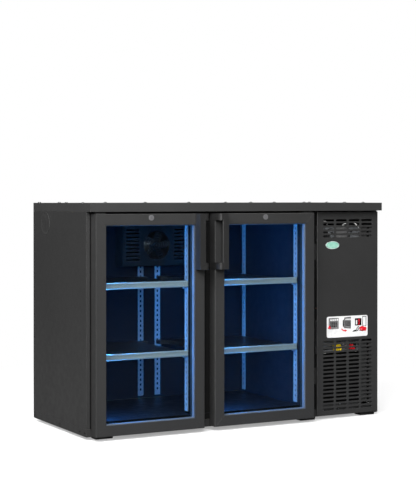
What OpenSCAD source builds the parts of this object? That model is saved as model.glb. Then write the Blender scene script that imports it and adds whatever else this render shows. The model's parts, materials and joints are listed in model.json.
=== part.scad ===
// Undercounter bottle refrigerator: insulated cabinet, two glass doors, machine compartment on the right.
// Millimetres, +Z up. Origin at the bottom centre of the whole object, doors on the -Y side.

/* [Cabinet] */
// Width over the two side panels
body_w = 1280; // [1260:1:1320]
// Height of the worktop surface above the ground
total_h = 860; // [850:1:900]
// Depth from the front of the body to the back panel
body_d = 520; // [510:1:560]
// Height of the pads under the base
foot_h = 12; // [8:1:20]
// Thickness of the folded sheet metal
sheet = 1.5; // [1:0.1:2]
// Height of the base tray's skirt
base_h = 28.5; // [24:0.5:34]

/* [Worktop] */
// Height of the worktop's folded edge
top_h = 31.5; // [28:0.5:34]
// How far the worktop reaches over the doors
top_overhang = 38; // [36:1:42]

/* [Doors] */
// Width of each door
door_w = 444; // [440:1:446]
// Distance from the cabinet's side to the door
side_inset = 16; // [14:1:18]
// Gap between the two doors
door_gap = 44; // [42:1:48]
// Thickness of the door frame
door_t = 43; // [42:0.5:44]
// Space that the gasket fills behind the door
gasket_t = 7; // [6:0.5:8]
// Seen width of the frame profiles
profile_w = 40; // [38:1:42]
// Gap between the door and the worktop's underside
door_top_gap = 8; // [7:0.5:9]
// Height of the door's lower edge above the base
door_bottom = 5; // [5:0.5:7]

/* [Handles] */
// Height of the pull handle
handle_h = 209; // [190:1:230]
// How far the handle stands out from the door
handle_proud = 38; // [34:1:42]
// Width of the handle's front plate
handle_w = 26; // [22:1:28]
// Height of each end bracket
bracket_h = 25; // [20:1:30]

/* [Interior] */
// Height of the compartment floor above the base
floor_z = 52; // [50:1:56]
// Top of the lower shelf rail above the base
lower_rail_z = 295; // [280:1:300]
// Top of the upper shelf rail above the base
upper_rail_z = 556; // [540:1:570]
// Height of the shelf's front rail
rail_h = 23.5; // [20:0.5:26]

/* [Service panel] */
// Left edge of the panel, from the cabinet's left side
panel_x = 988; // [986:1:990]
// How far the panel stands out from the body
panel_proud = 10; // [9:0.5:12]
// Length of a ventilation slot
slot_l = 52; // [44:1:54]
// Height of a ventilation slot
slot_h = 8.5; // [6:0.5:9]
// Sideways distance between slots
slot_pitch_x = 61; // [60:0.5:64]
// Vertical distance between slots
slot_pitch_z = 15.8; // [14:0.1:16]
// Rows in the lower group of slots
lower_rows = 18; // [10:1:18]

/* [Hidden] */

gap = 0.3;                                  // clearance between neighbouring pieces
run_gap = 0.05;                             // radial clearance of a pin in its bore
head_h = 2;                                 // screw head height
head_r = 4;                                 // screw head radius
cap_r = 7;                                  // washer of a worktop fixing
cap_h = 3;
door_stack = door_t + gasket_t;
total_d = handle_proud + door_stack + body_d + head_h;
front_y = handle_proud + door_stack - total_d / 2;
body_h = total_h - foot_h;                  // worktop surface above the base's underside
top_z = body_h - top_h;                     // underside of the worktop's edge

// Doors
door_l = side_inset;
door_r = door_l + door_w;
mirror_x = door_l + door_r + door_w + door_gap;
door_top = top_z - door_top_gap;
door_h = door_top - door_bottom;
tube_w = profile_w - 6;                     // hollow part of the frame profile
lip_t = 2;                                  // front lip that covers the glass edge
unit_t = 24;                                // thickness of the whole glass unit
pane_t = 4;                                 // thickness of one pane
pin_inset = 14;                             // hinge pin from the door's outer edge
pin_x = door_l + pin_inset;
pin_y = -gasket_t - door_t / 2;
pin_r = 4;
pin_len = 20;
lock_x = (door_l + door_r) / 2;
lock_z = door_top - 14.5;
cam_y = sheet + gap - top_overhang;         // front face of the lock's cam
gasket_w = 18;
gasket_inset = 16;
lock_front = -door_stack - 1.2;

// Compartment
frame_d = 40;                               // depth of the face frame
cav_l = 54;
cav_r = mirror_x - door_l - 36;
cav_back = body_d - 50;
cav_top = door_top - 36;
mullion_l = door_r - 36;
mullion_r = mirror_x - mullion_l;
jamb_r = panel_x;
bulk_x = 963.3;                             // sheet between the compartment and the machine
std_w = 24;
std_t = 3;
std_y = 14;
std_rear_y = cav_back - 50;
std_pitch = 20;
shelf_l = cav_l + 8;
shelf_r = mullion_l - 5;
shelf_y = 4.3;
shelf_back = cav_back - 10;
shelf_fold = 15;
stop_h = 8;                                 // how far the rail stands above the shelf

// Machine compartment
panel_top = top_z - 5;
panel_bottom = 1.5;
panel_pin_x = body_w - 4.5;
panel_pin_y = -5.5;
panel_pin_r = 1.5;
machine_x = (bulk_x + body_w) / 2;
fan_z = 124;
fan_r = 92;
fan_y = 106;
evap_x = mirror_x / 2;
evap_z = 676;
evap_fan_y = 402;
evap_front = cav_back - 74;                 // front of the evaporator's cover
coil_half_w = 125;                          // half the width of the condenser's core
coil_front = 34;
coil_depth = 40;
comp_x = 1118;
comp_y = 338;
comp_top = 172;
drier_x = 1236;
drier_y = 250;
drier_low = 140;                            // lower tip of the filter drier
drier_high = 260;
knock_y = 392;
knock_z = 769;
knock_r = 42.5;
inlet_x = 1210.5;                           // centre of the power inlet
inlet_z = 64.5;

module place() {
    translate([-body_w / 2, front_y, foot_h]) children();
}

module mirrored() {
    translate([mirror_x, 0, 0]) mirror([1, 0, 0]) children();
}

module block(low, high) {
    translate(low) cube(high - low);
}

// Unit vector along a bent line at point i
function heading(p, i) =
    let (d = i == 0 ? p[1] - p[0]
           : i == len(p) - 1 ? p[i] - p[i - 1]
           : (p[i] - p[i - 1]) / norm(p[i] - p[i - 1]) + (p[i + 1] - p[i]) / norm(p[i + 1] - p[i]))
    d / norm(d);

// Ring of n points round the bent line at point i
function tube_ring(p, i, r, n) =
    let (h = heading(p, i),
         side = cross(h, [0.31, 0.17, 0.93]),
         u = side / norm(side),
         v = cross(h, u))
    [for (k = [0 : n - 1]) p[i] + r * cos(360 * k / n) * u + r * sin(360 * k / n) * v];

// A bent tube along the points p, as one closed skin
module pipe(p, r, n=10) {
    last = len(p) - 1;
    rings = [for (i = [0 : last]) each tube_ring(p, i, r, n)];
    walls = [for (i = [0 : last - 1], k = [0 : n - 1])
        each [[i * n + k, i * n + n + k, i * n + (k + 1) % n],
              [i * n + (k + 1) % n, i * n + n + k, i * n + n + (k + 1) % n]]];
    near = [[for (k = [0 : n - 1]) k]];
    far = [[for (k = [n - 1 : -1 : 0]) last * n + k]];
    polyhedron(rings, concat(walls, near, far));
}

module screw_head_up(pos) {
    translate(pos) cylinder(r1=head_r, r2=head_r - 1, h=head_h, $fn=32);
}

// Broad head with its washer, for the worktop's fixings
module cap_head(pos) {
    translate(pos) cylinder(r=cap_r, h=1, $fn=32);
    translate(pos) cylinder(r1=cap_r - 1, r2=cap_r - 2.5, h=cap_h, $fn=32);
}

// ---------------------------------------------------------------- cabinet shell

module base_frame() {
    color("#2b2b2b") place() difference() {
        block([0, 0, 0], [body_w, body_d, base_h]);
        block([sheet, sheet, sheet], [body_w - sheet, body_d - sheet, base_h + 1]);
    }
}

module feet() {
    foot_w = 72;
    foot_d = 42;
    chamfer = 3;
    outline = [[chamfer, 0], [foot_w - chamfer, 0], [foot_w, foot_h - gap], [0, foot_h - gap]];
    color("#1a1a1a") place() {
        for (x = [38, 918, 1204], y = [6, body_d - foot_d - 6]) {
            translate([x, y + foot_d, -foot_h]) rotate([90, 0, 0]) linear_extrude(foot_d) polygon(outline);
            block([x + 24, y + 10, -gap - 0.01], [x + 48, y + foot_d - 10, 0]);
        }
    }
}

module side_sheet() {
    flange = 14;
    block([0, 0, base_h + gap], [sheet, body_d, top_z - gap]);
    block([0, 0, base_h + gap], [flange, sheet, top_z - gap]);
    block([0, body_d - sheet, base_h + gap], [flange + 6, body_d, top_z - gap]);
}

module left_side_panel() {
    color("#3a3a3a") place() difference() {
        side_sheet();
        translate([-1, knock_y, knock_z]) rotate([0, 90, 0])
            cylinder(r=knock_r + gap, h=sheet + 2, $fn=64);
    }
}

module right_side_panel() {
    color("#3a3a3a") place() translate([body_w, 0, 0]) mirror([1, 0, 0]) side_sheet();
}

module knockout_plug() {
    color("#333333") place() {
        translate([-1, knock_y, knock_z]) rotate([0, 90, 0]) cylinder(r=knock_r, h=sheet + 1, $fn=64);
    }
}

module back_panel() {
    color("#3a3a3a") place() {
        block([20 + gap, body_d - sheet, base_h + gap], [bulk_x + 2, body_d, top_z - gap]);
    }
}

module machine_back_cover() {
    left = bulk_x + 2 + gap;
    right = body_w - 20 - gap;
    slot = 60;
    color("#303030") place() translate([0, body_d, 0]) rotate([90, 0, 0]) linear_extrude(sheet) difference() {
        translate([left, base_h + gap]) square([right - left, top_z - base_h - 2 * gap]);
        for (col = [0 : 2], row = [0 : 11], low = [90, 470]) {
            translate([left + 42 + 75 * col, low + 18 * row]) square([slot, 7]);
        }
        translate([inlet_x - 15.5, inlet_z - 12.5]) square([31, 25]);
    }
}

module bulkhead_panel() {
    color("#b9bcbc") place()
        block([bulk_x, frame_d + gap, sheet + gap], [bulk_x + sheet, body_d - 2, body_h - 2]);
}

module worktop() {
    lip_back = 12;                          // return flange along the front edge
    color("#3c3c3c") place() difference() {
        block([0, -top_overhang, top_z], [body_w, body_d, body_h]);
        block([sheet, -top_overhang + sheet, top_z + sheet],
              [body_w - sheet, body_d - sheet, body_h - sheet]);
        block([sheet, -top_overhang + sheet + lip_back, top_z - 1],
              [body_w - sheet, body_d - sheet, top_z + sheet + 1]);
        strike_slot();
        mirrored() strike_slot();
    }
}

// Slot in the worktop's return flange that the lock's cam rises through
module strike_slot() {
    block([lock_x - 9, -top_overhang + sheet, top_z - 1], [lock_x + 30, cam_y + 6, top_z + sheet + 1]);
}

module worktop_screws() {
    edge = 14;
    rear_x = [104, 304, 484, 686, 863, 986, 1104, 1257];
    left_y = [63, 219, 491];
    right_y = [73, 207, 340, 476];
    color("#4a4a4a") place() {
        for (x = rear_x) cap_head([x, body_d - edge, body_h]);
        for (y = left_y) cap_head([edge, y, body_h]);
        for (y = right_y) cap_head([body_w - edge, y, body_h]);
    }
}

module cabinet_screws() {
    side_z = [120, 320, 560, 760];
    color("#4a4a4a") place() {
        for (z = side_z) {
            translate([0, body_d - 9, z]) rotate([0, -90, 0]) screw_head_up([0, 0, 0]);
            translate([body_w, body_d - 9, z]) rotate([0, 90, 0]) screw_head_up([0, 0, 0]);
            for (x = [10, 300, 640, 955, 975, body_w - 10]) {
                translate([x, body_d, z]) rotate([-90, 0, 0]) screw_head_up([0, 0, 0]);
            }
        }
        for (y = [14, 60, 250, body_d - 14]) {
            translate([0, y, 14]) rotate([0, -90, 0]) screw_head_up([0, 0, 0]);
            translate([body_w, y, 14]) rotate([0, 90, 0]) screw_head_up([0, 0, 0]);
        }
    }
}

// ---------------------------------------------------------------- insulated box

module face_frame() {
    top = top_z - gap;
    color("#161616") place() {
        block([14 + gap, 0, base_h + gap], [cav_l - 1 - gap, frame_d, top]);
        block([cav_r + 1 + gap, 0, base_h + gap], [jamb_r, frame_d, top]);
        block([cav_l - 1, 0, cav_top + 1 + gap], [cav_r + 1, frame_d, top]);
        block([cav_l - 1, 0, base_h + gap], [cav_r + 1, frame_d, floor_z - 1 - gap]);
        block([mullion_l, 0, floor_z + gap], [mullion_r, frame_d, cav_top - gap]);
    }
}

module insulation() {
    y0 = frame_d + gap;
    y1 = body_d - 2;
    z0 = sheet + gap;
    z1 = body_h - 2;
    color("#e8dfae") place() {
        block([sheet + gap, y0, z0], [cav_l - 1 - gap, y1, z1]);
        block([cav_r + 1 + gap, y0, z0], [bulk_x - gap, y1, z1]);
        block([cav_l - 1, cav_back + 1 + gap, z0], [cav_r + 1, y1, z1]);
        block([cav_l - 1, y0, z0], [cav_r + 1, cav_back + 1, floor_z - 1 - gap]);
        block([cav_l - 1, y0, cav_top + 1 + gap], [cav_r + 1, cav_back + 1, z1]);
    }
}

module liner() {
    t = 1;
    y0 = 1.5;
    color("#2a2f36") place() {
        block([cav_l - t, y0, floor_z], [cav_l, cav_back, cav_top]);
        block([cav_r, y0, floor_z], [cav_r + t, cav_back, cav_top]);
        block([cav_l - t, cav_back + gap, floor_z], [cav_r + t, cav_back + t, cav_top]);
        block([cav_l - t, y0, floor_z - t], [cav_r + t, cav_back, floor_z - gap]);
        block([cav_l - t, y0, cav_top + gap], [cav_r + t, cav_back, cav_top + t]);
    }
}

// Slotted upright, lying flat with its width along X
module standard_strip() {
    len = cav_top - floor_z - 20;
    linear_extrude(std_t) difference() {
        square([std_w, len]);
        for (i = [1 : floor(len / std_pitch) - 1]) translate([std_w / 2 - 4, i * std_pitch]) square([8, 10]);
    }
}

module standards_of_left_bay() {
    z0 = floor_z + 10;
    translate([cav_l, std_y, z0]) rotate([90, 0, 90]) standard_strip();
    translate([mullion_l - std_t, std_y, z0]) rotate([90, 0, 90]) standard_strip();
    translate([cav_l, std_rear_y, z0]) rotate([90, 0, 90]) standard_strip();
    translate([mullion_l + 8, cav_back, z0]) rotate([90, 0, 0]) standard_strip();
}

module shelf_standards() {
    color("#9aa3a8") place() {
        standards_of_left_bay();
        mirrored() standards_of_left_bay();
    }
}

module clips_of_left_bay() {
    clip_l = 12;
    clip_h = 8;
    for (z = [lower_rail_z, upper_rail_z] - [1, 1] * (stop_h + shelf_fold)) {
        block([cav_l + std_t, std_y + 5, z - clip_h], [cav_l + std_t + clip_l, std_y + 19, z]);
        block([mullion_l - std_t - clip_l, std_y + 5, z - clip_h], [mullion_l - std_t, std_y + 19, z]);
        block([cav_l + std_t, std_rear_y + 5, z - clip_h], [cav_l + std_t + clip_l, std_rear_y + 19, z]);
        block([mullion_l + 11, shelf_back - clip_l, z - clip_h], [mullion_l + 29, cav_back - std_t, z]);
    }
}

module shelf_clips() {
    color("#c9ced0") place() {
        clips_of_left_bay();
        mirrored() clips_of_left_bay();
    }
}

// Shelf of the left bay: a plate with its edges folded down, and an ear that reaches the rear clip
module shelf(rail_z) {
    top = rail_z - stop_h;
    difference() {
        union() {
            block([shelf_l, shelf_y, top - shelf_fold], [shelf_r, shelf_back, top]);
            block([shelf_r - 1, shelf_back - 40, top - shelf_fold], [mullion_l + 30, shelf_back, top]);
        }
        block([shelf_l + sheet, shelf_y + sheet, top - shelf_fold - 1],
              [shelf_r - sheet, shelf_back - sheet, top - sheet]);
        block([shelf_r - sheet - 1, shelf_back - 40 + sheet, top - shelf_fold - 1],
              [mullion_l + 10, shelf_back - sheet, top - sheet]);
    }
}

module shelf_left_lower() {
    color("#8f979b") place() shelf(lower_rail_z);
}

module shelf_left_upper() {
    color("#8f979b") place() shelf(upper_rail_z);
}

module shelf_right_lower() {
    color("#8f979b") place() mirrored() shelf(lower_rail_z);
}

module shelf_right_upper() {
    color("#8f979b") place() mirrored() shelf(upper_rail_z);
}

// Front rail of a shelf: a profile with two ridges and a groove between them
module shelf_rail(rail_z) {
    outline = [[0.8, 1], [1.6, 0], [4, 0], [4, rail_h], [1.6, rail_h], [0.8, rail_h - 1],
               [0.8, rail_h - 8], [2, rail_h - 9], [2, 9], [0.8, 8]];
    translate([shelf_l - 2, 0, rail_z - rail_h]) rotate([90, 0, 90]) linear_extrude(shelf_r - shelf_l + 4)
        polygon(outline);
}

module shelf_rails() {
    color("#a7b0b3") place() for (z = [lower_rail_z, upper_rail_z]) {
        shelf_rail(z);
        mirrored() shelf_rail(z);
    }
}

module led_strips() {
    color("#cfe0ff") place() {
        for (x = [cav_l, mullion_r]) block([x, shelf_y, floor_z + 20], [x + 4.7, shelf_y + 8, cav_top - 20]);
    }
}

// ---------------------------------------------------------------- evaporator

module evaporator_cover() {
    half_w = 152;
    low = 592;
    high = cav_top - gap;
    front = evap_front;
    t = 1.2;
    color("#8d959a") place() difference() {
        block([evap_x - half_w, front, low], [evap_x + half_w, cav_back - std_t - gap, high]);
        block([evap_x - half_w + t, front + t, low - 1], [evap_x + half_w - t, cav_back, high - t]);
        translate([evap_x, front - 1, evap_z]) rotate([-90, 0, 0]) cylinder(r=58, h=t + 2, $fn=64);
        for (side = [-1, 1], row = [0 : 8]) {
            translate([evap_x + side * 108 - 30, front - 1, low + 24 + 15 * row]) cube([60, t + 2, 6]);
        }
    }
}

module evaporator_coil() {
    half_w = 130;
    front = 426;
    depth = 38;
    color("#b4b9bb") place() {
        block([evap_x - half_w, front, 604], [evap_x + half_w, front + depth, 756]);
        for (side = [-1, 1], z = [630, 680, 730]) {
            translate([evap_x + side * (half_w + 3) - 9, front + depth / 2, z]) rotate([0, 90, 0])
                cylinder(r=5, h=18, $fn=32);
        }
    }
}

module evaporator_fan_motor() {
    shaft_r = 3;
    color("#54585a") place() translate([evap_x, 0, evap_z]) rotate([-90, 0, 0]) {
        translate([0, 0, evap_fan_y + 10]) cylinder(r=20, h=13, $fn=48);
        translate([0, 0, evap_fan_y - 2]) cylinder(r=shaft_r, h=14, $fn=32);
        for (a = [45, 135, 225, 315]) rotate([0, 0, a]) translate([15, -2, evap_fan_y + 18]) cube([50, 4, 2]);
    }
}

// Fan rotor about +Z: a hub with pitched blades and a bore for the motor's shaft
module rotor(hub_r, tip_r, depth, blades, chord, bore_r) {
    difference() {
        union() {
            cylinder(r=hub_r, h=depth, $fn=48);
            for (i = [0 : blades - 1]) {
                rotate([0, 0, 360 * i / blades]) translate([hub_r - 2, 0, depth / 2]) rotate([28, 0, 0])
                    translate([0, -chord / 2, -0.8]) cube([tip_r - hub_r, chord, 1.6]);
            }
        }
        translate([0, 0, -1]) cylinder(r=bore_r, h=depth + 2, $fn=32);
    }
}

module evaporator_fan_blade() {
    color("#1f1f1f") place() translate([evap_x, evap_fan_y - 3, evap_z]) rotate([-90, 0, 0])
        rotor(14, 54, 10, 5, 18, 3 + run_gap);
}

// ---------------------------------------------------------------- machine compartment

module condenser_coil() {
    color("#6d7173") place() {
        block([machine_x - coil_half_w, coil_front, 14],
              [machine_x + coil_half_w, coil_front + coil_depth, 234]);
        for (side = [-1, 1], i = [0 : 4]) {
            translate([machine_x + side * (coil_half_w + 3) - 9, coil_front + coil_depth / 2, 38 + 43 * i])
                rotate([0, 90, 0]) cylinder(r=5, h=18, $fn=32);
        }
    }
}

module fan_shroud() {
    front = coil_front + coil_depth + 0.5;
    half_w = coil_half_w + 1;
    color("#2b2b2b") place() difference() {
        union() {
            block([machine_x - half_w, front, 10], [machine_x + half_w, front + 2, 238]);
            translate([machine_x, front, fan_z]) rotate([-90, 0, 0]) cylinder(r=fan_r + 8, h=26, $fn=96);
        }
        translate([machine_x, front - 4, fan_z]) rotate([-90, 0, 0]) cylinder(r=fan_r + 5, h=40, $fn=96);
    }
}

module condenser_fan_motor() {
    arm_y = 134;
    leg_y = arm_y + 22;
    color("#3d4042") place() {
        translate([machine_x, arm_y, fan_z]) rotate([-90, 0, 0]) cylinder(r=38, h=48, $fn=64);
        translate([machine_x, fan_y - 24, fan_z]) rotate([-90, 0, 0])
            cylinder(r=4, h=arm_y - fan_y + 26, $fn=32);
        for (side = [-1, 1]) {
            leg_x = machine_x + side * 50;
            block([leg_x - 18, leg_y, sheet + gap], [leg_x + 18, leg_y + 4, 60]);
            block([leg_x - 18, leg_y, 60], [machine_x + side * 24 + 12, leg_y + 4, 110]);
        }
    }
}

module condenser_fan_blade() {
    color("#c4c8ca") place() translate([machine_x, fan_y - 22, fan_z]) rotate([-90, 0, 0])
        rotor(26, fan_r, 22, 5, 44, 4 + run_gap);
}

module compressor() {
    body = [[0, 20], [62, 20], [74, 32], [76, 60], [76, 112], [70, 140], [52, 160], [26, 170], [0, comp_top]];
    color("#171717") place() {
        translate([comp_x, comp_y, 0]) rotate_extrude($fn=96) polygon(body);
        block([comp_x - 95, comp_y - 60, 20], [comp_x + 95, comp_y + 60, 23]);
        block([comp_x + 66, comp_y - 26, 70], [comp_x + 102, comp_y + 26, 128]);
    }
}

module compressor_mounts() {
    color("#0f0f0f") place() for (x = [-80, 80], y = [-45, 45]) {
        translate([comp_x + x, comp_y + y, sheet]) cylinder(r=13, h=20 - sheet, $fn=48);
    }
}

module filter_drier() {
    color("#b87333") place() {
        translate([drier_x, drier_y, drier_low]) cylinder(r1=4, r2=12, h=10, $fn=48);
        translate([drier_x, drier_y, drier_low + 10]) cylinder(r=12, h=drier_high - drier_low - 20, $fn=48);
        translate([drier_x, drier_y, drier_high - 10]) cylinder(r1=12, r2=4, h=10, $fn=48);
    }
}

module refrigerant_pipes() {
    port_y = comp_y - 20;
    port_z = comp_top - 4;
    run_z = comp_top + 11;
    pipe_end = bulk_x + sheet + 1.2;
    coil_end = machine_x + 141.5;
    discharge = [[comp_x + 30, port_y, port_z], [comp_x + 30, port_y, run_z],
                 [comp_x + 98, drier_y + 20, run_z], [comp_x + 98, 124, run_z + 6],
                 [coil_end, 108, 194], [coil_end, 66, 202], [coil_end, 56, 208]];
    liquid = [[coil_end, 54, 40], [coil_end, 130, 40],
              [drier_x, drier_y, 100], [drier_x, drier_y, drier_low - 1]];
    suction = [[comp_x - 30, port_y, port_z], [comp_x - 30, port_y, run_z], [996, port_y, run_z + 3],
               [996, 300, 230], [990, 300, 520], [982, 345, 640], [980, 345, 660], [pipe_end, 345, 660]];
    capillary = [[drier_x, drier_y, drier_high + 1], [drier_x, drier_y, 330], [1010, 300, 560],
                 [984, 368, 670], [pipe_end, 368, 680]];
    color("#b87333") place() {
        pipe(discharge, 4);
        pipe(liquid, 4);
        pipe(suction, 6);
        pipe(capillary, 1.5);
    }
}

module electrical_box() {
    front = 40;
    color("#9b9fa1") place() {
        block([1010, front, 242], [1240, front + 56, 372]);
        translate([1104, front - 8, 266]) rotate([-90, 0, 0]) cylinder(r=22, h=8, $fn=48);
        block([1148, front - 10, 262], [1186, front, 284]);
    }
}

module control_box() {
    front = 40;
    color("#c8cbcc") place() {
        block([1020, front, 694], [1225, front + 60, 754]);
        block([1060, front - 6, 706], [1150, front, 746]);
    }
}

module drip_tray() {
    left = 1010;
    right = 1210;
    front = 226;
    back = 450;
    low = 196;
    wall = 2;
    color("#8f979b") place() difference() {
        block([left, front, low], [right, back, low + 26]);
        block([left + wall, front + wall, low + wall], [right - wall, back - wall, low + 30]);
    }
}

module power_inlet() {
    color("#111111") place() difference() {
        union() {
            block([inlet_x - 15, body_d - 26, inlet_z - 12], [inlet_x + 15, body_d, inlet_z + 12]);
            block([inlet_x - 22.5, body_d, inlet_z - 16.5], [inlet_x + 22.5, body_d + 1.8, inlet_z + 16.5]);
        }
        block([inlet_x - 11.5, body_d - 18, inlet_z - 9.5], [inlet_x + 11.5, body_d + 3, inlet_z + 8.5]);
    }
}

// ---------------------------------------------------------------- service panel

module slot_outline(x, z) {
    translate([x, z]) square([slot_l - slot_h, slot_h], center=true);
    for (side = [-1, 1]) translate([x + side * (slot_l - slot_h) / 2, z]) circle(r=slot_h / 2, $fn=32);
}

module slotted_front() {
    first_x = panel_x + 28 + slot_l / 2;
    upper_z = panel_top - 29.5 - slot_h / 2;
    lower_z = 294;
    difference() {
        translate([panel_x, panel_bottom]) square([body_w - panel_x, panel_top - panel_bottom]);
        for (col = [0 : 3], row = [0 : 4]) {
            slot_outline(first_x + col * slot_pitch_x, upper_z - row * slot_pitch_z);
        }
        for (col = [0 : 3], row = [0 : lower_rows - 1]) {
            slot_outline(first_x + col * slot_pitch_x, lower_z - row * slot_pitch_z);
        }
    }
}

module service_panel() {
    back = -panel_proud + sheet;
    color("#333333") place() difference() {
        union() {
            translate([0, back, 0]) rotate([90, 0, 0]) linear_extrude(sheet) slotted_front();
            block([panel_x, back - 0.1, panel_bottom], [panel_x + sheet, -2, panel_top]);
            block([body_w - sheet, back - 0.1, panel_bottom], [body_w, -3.5, panel_top]);
            block([panel_x, back - 0.1, panel_top - sheet], [body_w, -3.5, panel_top]);
            block([panel_x, back - 0.1, panel_bottom], [body_w, -3.5, panel_bottom + sheet]);
        }
        translate([panel_pin_x, panel_pin_y, -1]) cylinder(r=panel_pin_r + run_gap, h=body_h, $fn=32);
    }
}

module panel_badge() {
    rx = 32;
    rz = 15.5;
    oval = [for (a = [0 : 7.5 : 352.5]) [rx * cos(a), rz * sin(a)]];
    color("#9fd8c0") place() translate([panel_x + 71.5, -panel_proud, 679]) rotate([90, 0, 0])
        linear_extrude(2) polygon(oval);
}

module panel_label() {
    r = 6;
    w = 197;
    h = 84;
    color("#f2f2f2") place() translate([panel_x + 45, -panel_proud, 310.5]) rotate([90, 0, 0])
    linear_extrude(0.5) {
        translate([r, 0]) square([w - 2 * r, h]);
        translate([0, r]) square([w, h - 2 * r]);
        for (x = [r, w - r], z = [r, h - r]) translate([x, z]) circle(r=r, $fn=32);
    }
}

module panel_hinges() {
    leaf_l = 1262;
    leaf_r = body_w - 1;
    color("#2a2a2a") place() {
        block([leaf_l, -9, -2], [leaf_r, 5.5, 0]);
        translate([panel_pin_x, panel_pin_y, -0.5]) cylinder(r=panel_pin_r, h=5, $fn=32);
        block([leaf_l, -9, panel_top + 1.5], [leaf_r, 0, panel_top + 3.5]);
        translate([panel_pin_x, panel_pin_y, panel_top - 3]) cylinder(r=panel_pin_r, h=5, $fn=32);
    }
}

module panel_catches() {
    color("#202020") place() for (z = [162, 653]) {
        block([panel_x - 12, -1.3, z - 32], [panel_x + 20, 0, z + 32]);
        block([panel_x + 6, -8.2, z - 20], [panel_x + 18, -1.2, z + 20]);
        for (side = [-1, 1]) translate([panel_x - 6, -1.3, z + side * 21]) rotate([90, 0, 0])
            cylinder(r1=3.5, r2=2.5, h=1.6, $fn=32);
    }
}

// ---------------------------------------------------------------- doors (left one, mirrored for the right)

// Section of a frame profile: x from the outer edge inwards, y from the door's front to its back
function profile_section() = [
    [1.5, 0], [profile_w, 0], [profile_w, lip_t], [tube_w, lip_t], [tube_w, lip_t + unit_t + gap],
    [profile_w, lip_t + unit_t + gap], [profile_w, door_t], [0, door_t], [0, 1.5]
];

// One profile along Z, mitred at both ends
module profile_bar(length) {
    cut = 2 * profile_w;
    mitre_gap = 0.15;
    difference() {
        translate([0, 0, mitre_gap]) linear_extrude(length - 2 * mitre_gap) polygon(profile_section());
        for (z = [mitre_gap, length - mitre_gap]) {
            translate([0, -1, z]) rotate([0, 45, 0]) cube([cut, door_t + 2, cut]);
        }
    }
}

module door_origin() {
    translate([door_l, -door_stack, door_bottom]) children();
}

module door_profiles() {
    door_origin() {
        profile_bar(door_h);
        translate([door_w, 0, 0]) mirror([1, 0, 0]) profile_bar(door_h);
        mirror([1, 0, -1]) profile_bar(door_w);
        translate([0, 0, door_h]) mirror([0, 0, 1]) mirror([1, 0, -1]) profile_bar(door_w);
    }
}

module hinge_bore(z) {
    translate([pin_x, pin_y, z]) cylinder(r=pin_r + run_gap, h=pin_len + 4, $fn=48);
}

module cam_pocket() {
    block([lock_x - 10, cam_y - gap, lock_z - 12], [lock_x + 33, cam_y + 4.5, door_top + 1]);
}

module door_frame() {
    difference() {
        door_profiles();
        hinge_bore(door_bottom - 1);
        hinge_bore(door_top - pin_len - 3);
        cam_pocket();
        translate([lock_x, -door_stack - 1, lock_z]) rotate([-90, 0, 0])
            cylinder(r=9.5, h=door_stack + cam_y + 1, $fn=48);
    }
}

module glass_pane(y) {
    edge = tube_w + gap;
    door_origin() block([edge, y, edge], [door_w - edge, y + pane_t - 0.1, door_h - edge]);
}

module outer_glass() {
    glass_pane(lip_t + 0.1);
}

module inner_glass() {
    glass_pane(lip_t + unit_t - pane_t + 0.1);
}

module ring(outer_inset, width, y0, y1) {
    inner = outer_inset + width;
    door_origin() difference() {
        block([outer_inset, y0, outer_inset], [door_w - outer_inset, y1, door_h - outer_inset]);
        block([inner, y0 - 1, inner], [door_w - inner, y1 + 1, door_h - inner]);
    }
}

module glass_spacer() {
    ring(tube_w + gap + 1, 8, lip_t + pane_t, lip_t + unit_t - pane_t);
}

module gasket() {
    ring(gasket_inset, gasket_w, door_t, door_t + gasket_t - gap);
}

// Plan of the handle's end bracket, which wraps round the door's edge onto its side
module bracket_plan(web_x, front) {
    r = 14;
    wrap = 2;
    translate([web_x, front]) square([door_r + wrap - r - web_x, -door_stack - front]);
    translate([web_x, front + r]) square([door_r + wrap - web_x, -door_stack - front - r]);
    translate([door_r + wrap - r, front + r]) circle(r=r, $fn=64);
    translate([door_r + gap, -door_stack - 1]) square([wrap - gap, 25]);
}

module handle() {
    web_x = door_r - profile_w + 1;
    front = -door_stack - handle_proud;
    bottom = door_top - handle_h;
    difference() {
        union() {
            block([web_x, front, bottom], [web_x + 3, -door_stack, door_top]);
            block([web_x, front, bottom], [web_x + handle_w - 3, front + 4, door_top]);
            translate([web_x + handle_w - 4, front + 4, bottom]) cylinder(r=4, h=handle_h, $fn=48);
            for (z = [bottom, door_top - bracket_h]) {
                translate([0, 0, z]) linear_extrude(bracket_h) bracket_plan(web_x, front);
            }
        }
        block([web_x + handle_w - 8, front - 0.1, bottom - 1],
              [web_x + handle_w - 7, front + 0.8, door_top + 1]);
    }
}

module lock_housing() {
    translate([lock_x, 0, lock_z]) rotate([-90, 0, 0]) difference() {
        union() {
            translate([0, 0, -door_stack - 0.5]) cylinder(r=9.2, h=door_stack + cam_y - 0.5, $fn=64);
            translate([0, 0, lock_front]) cylinder(r1=10, r2=11, h=1.2, $fn=64);
        }
        translate([0, 0, lock_front - 1]) cylinder(r=7 + run_gap, h=door_stack + 2, $fn=64);
    }
}

module lock_plug() {
    translate([lock_x, 0, lock_z]) {
        difference() {
            rotate([-90, 0, 0]) translate([0, 0, lock_front + 0.2])
                cylinder(r=7, h=cam_y - lock_front - 0.2, $fn=64);
            block([-3.5, lock_front - 1, -0.6], [3.5, lock_front + 5, 0.6]);
        }
        block([-6, cam_y, -6], [30, cam_y + 3, 6]);
    }
}

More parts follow.
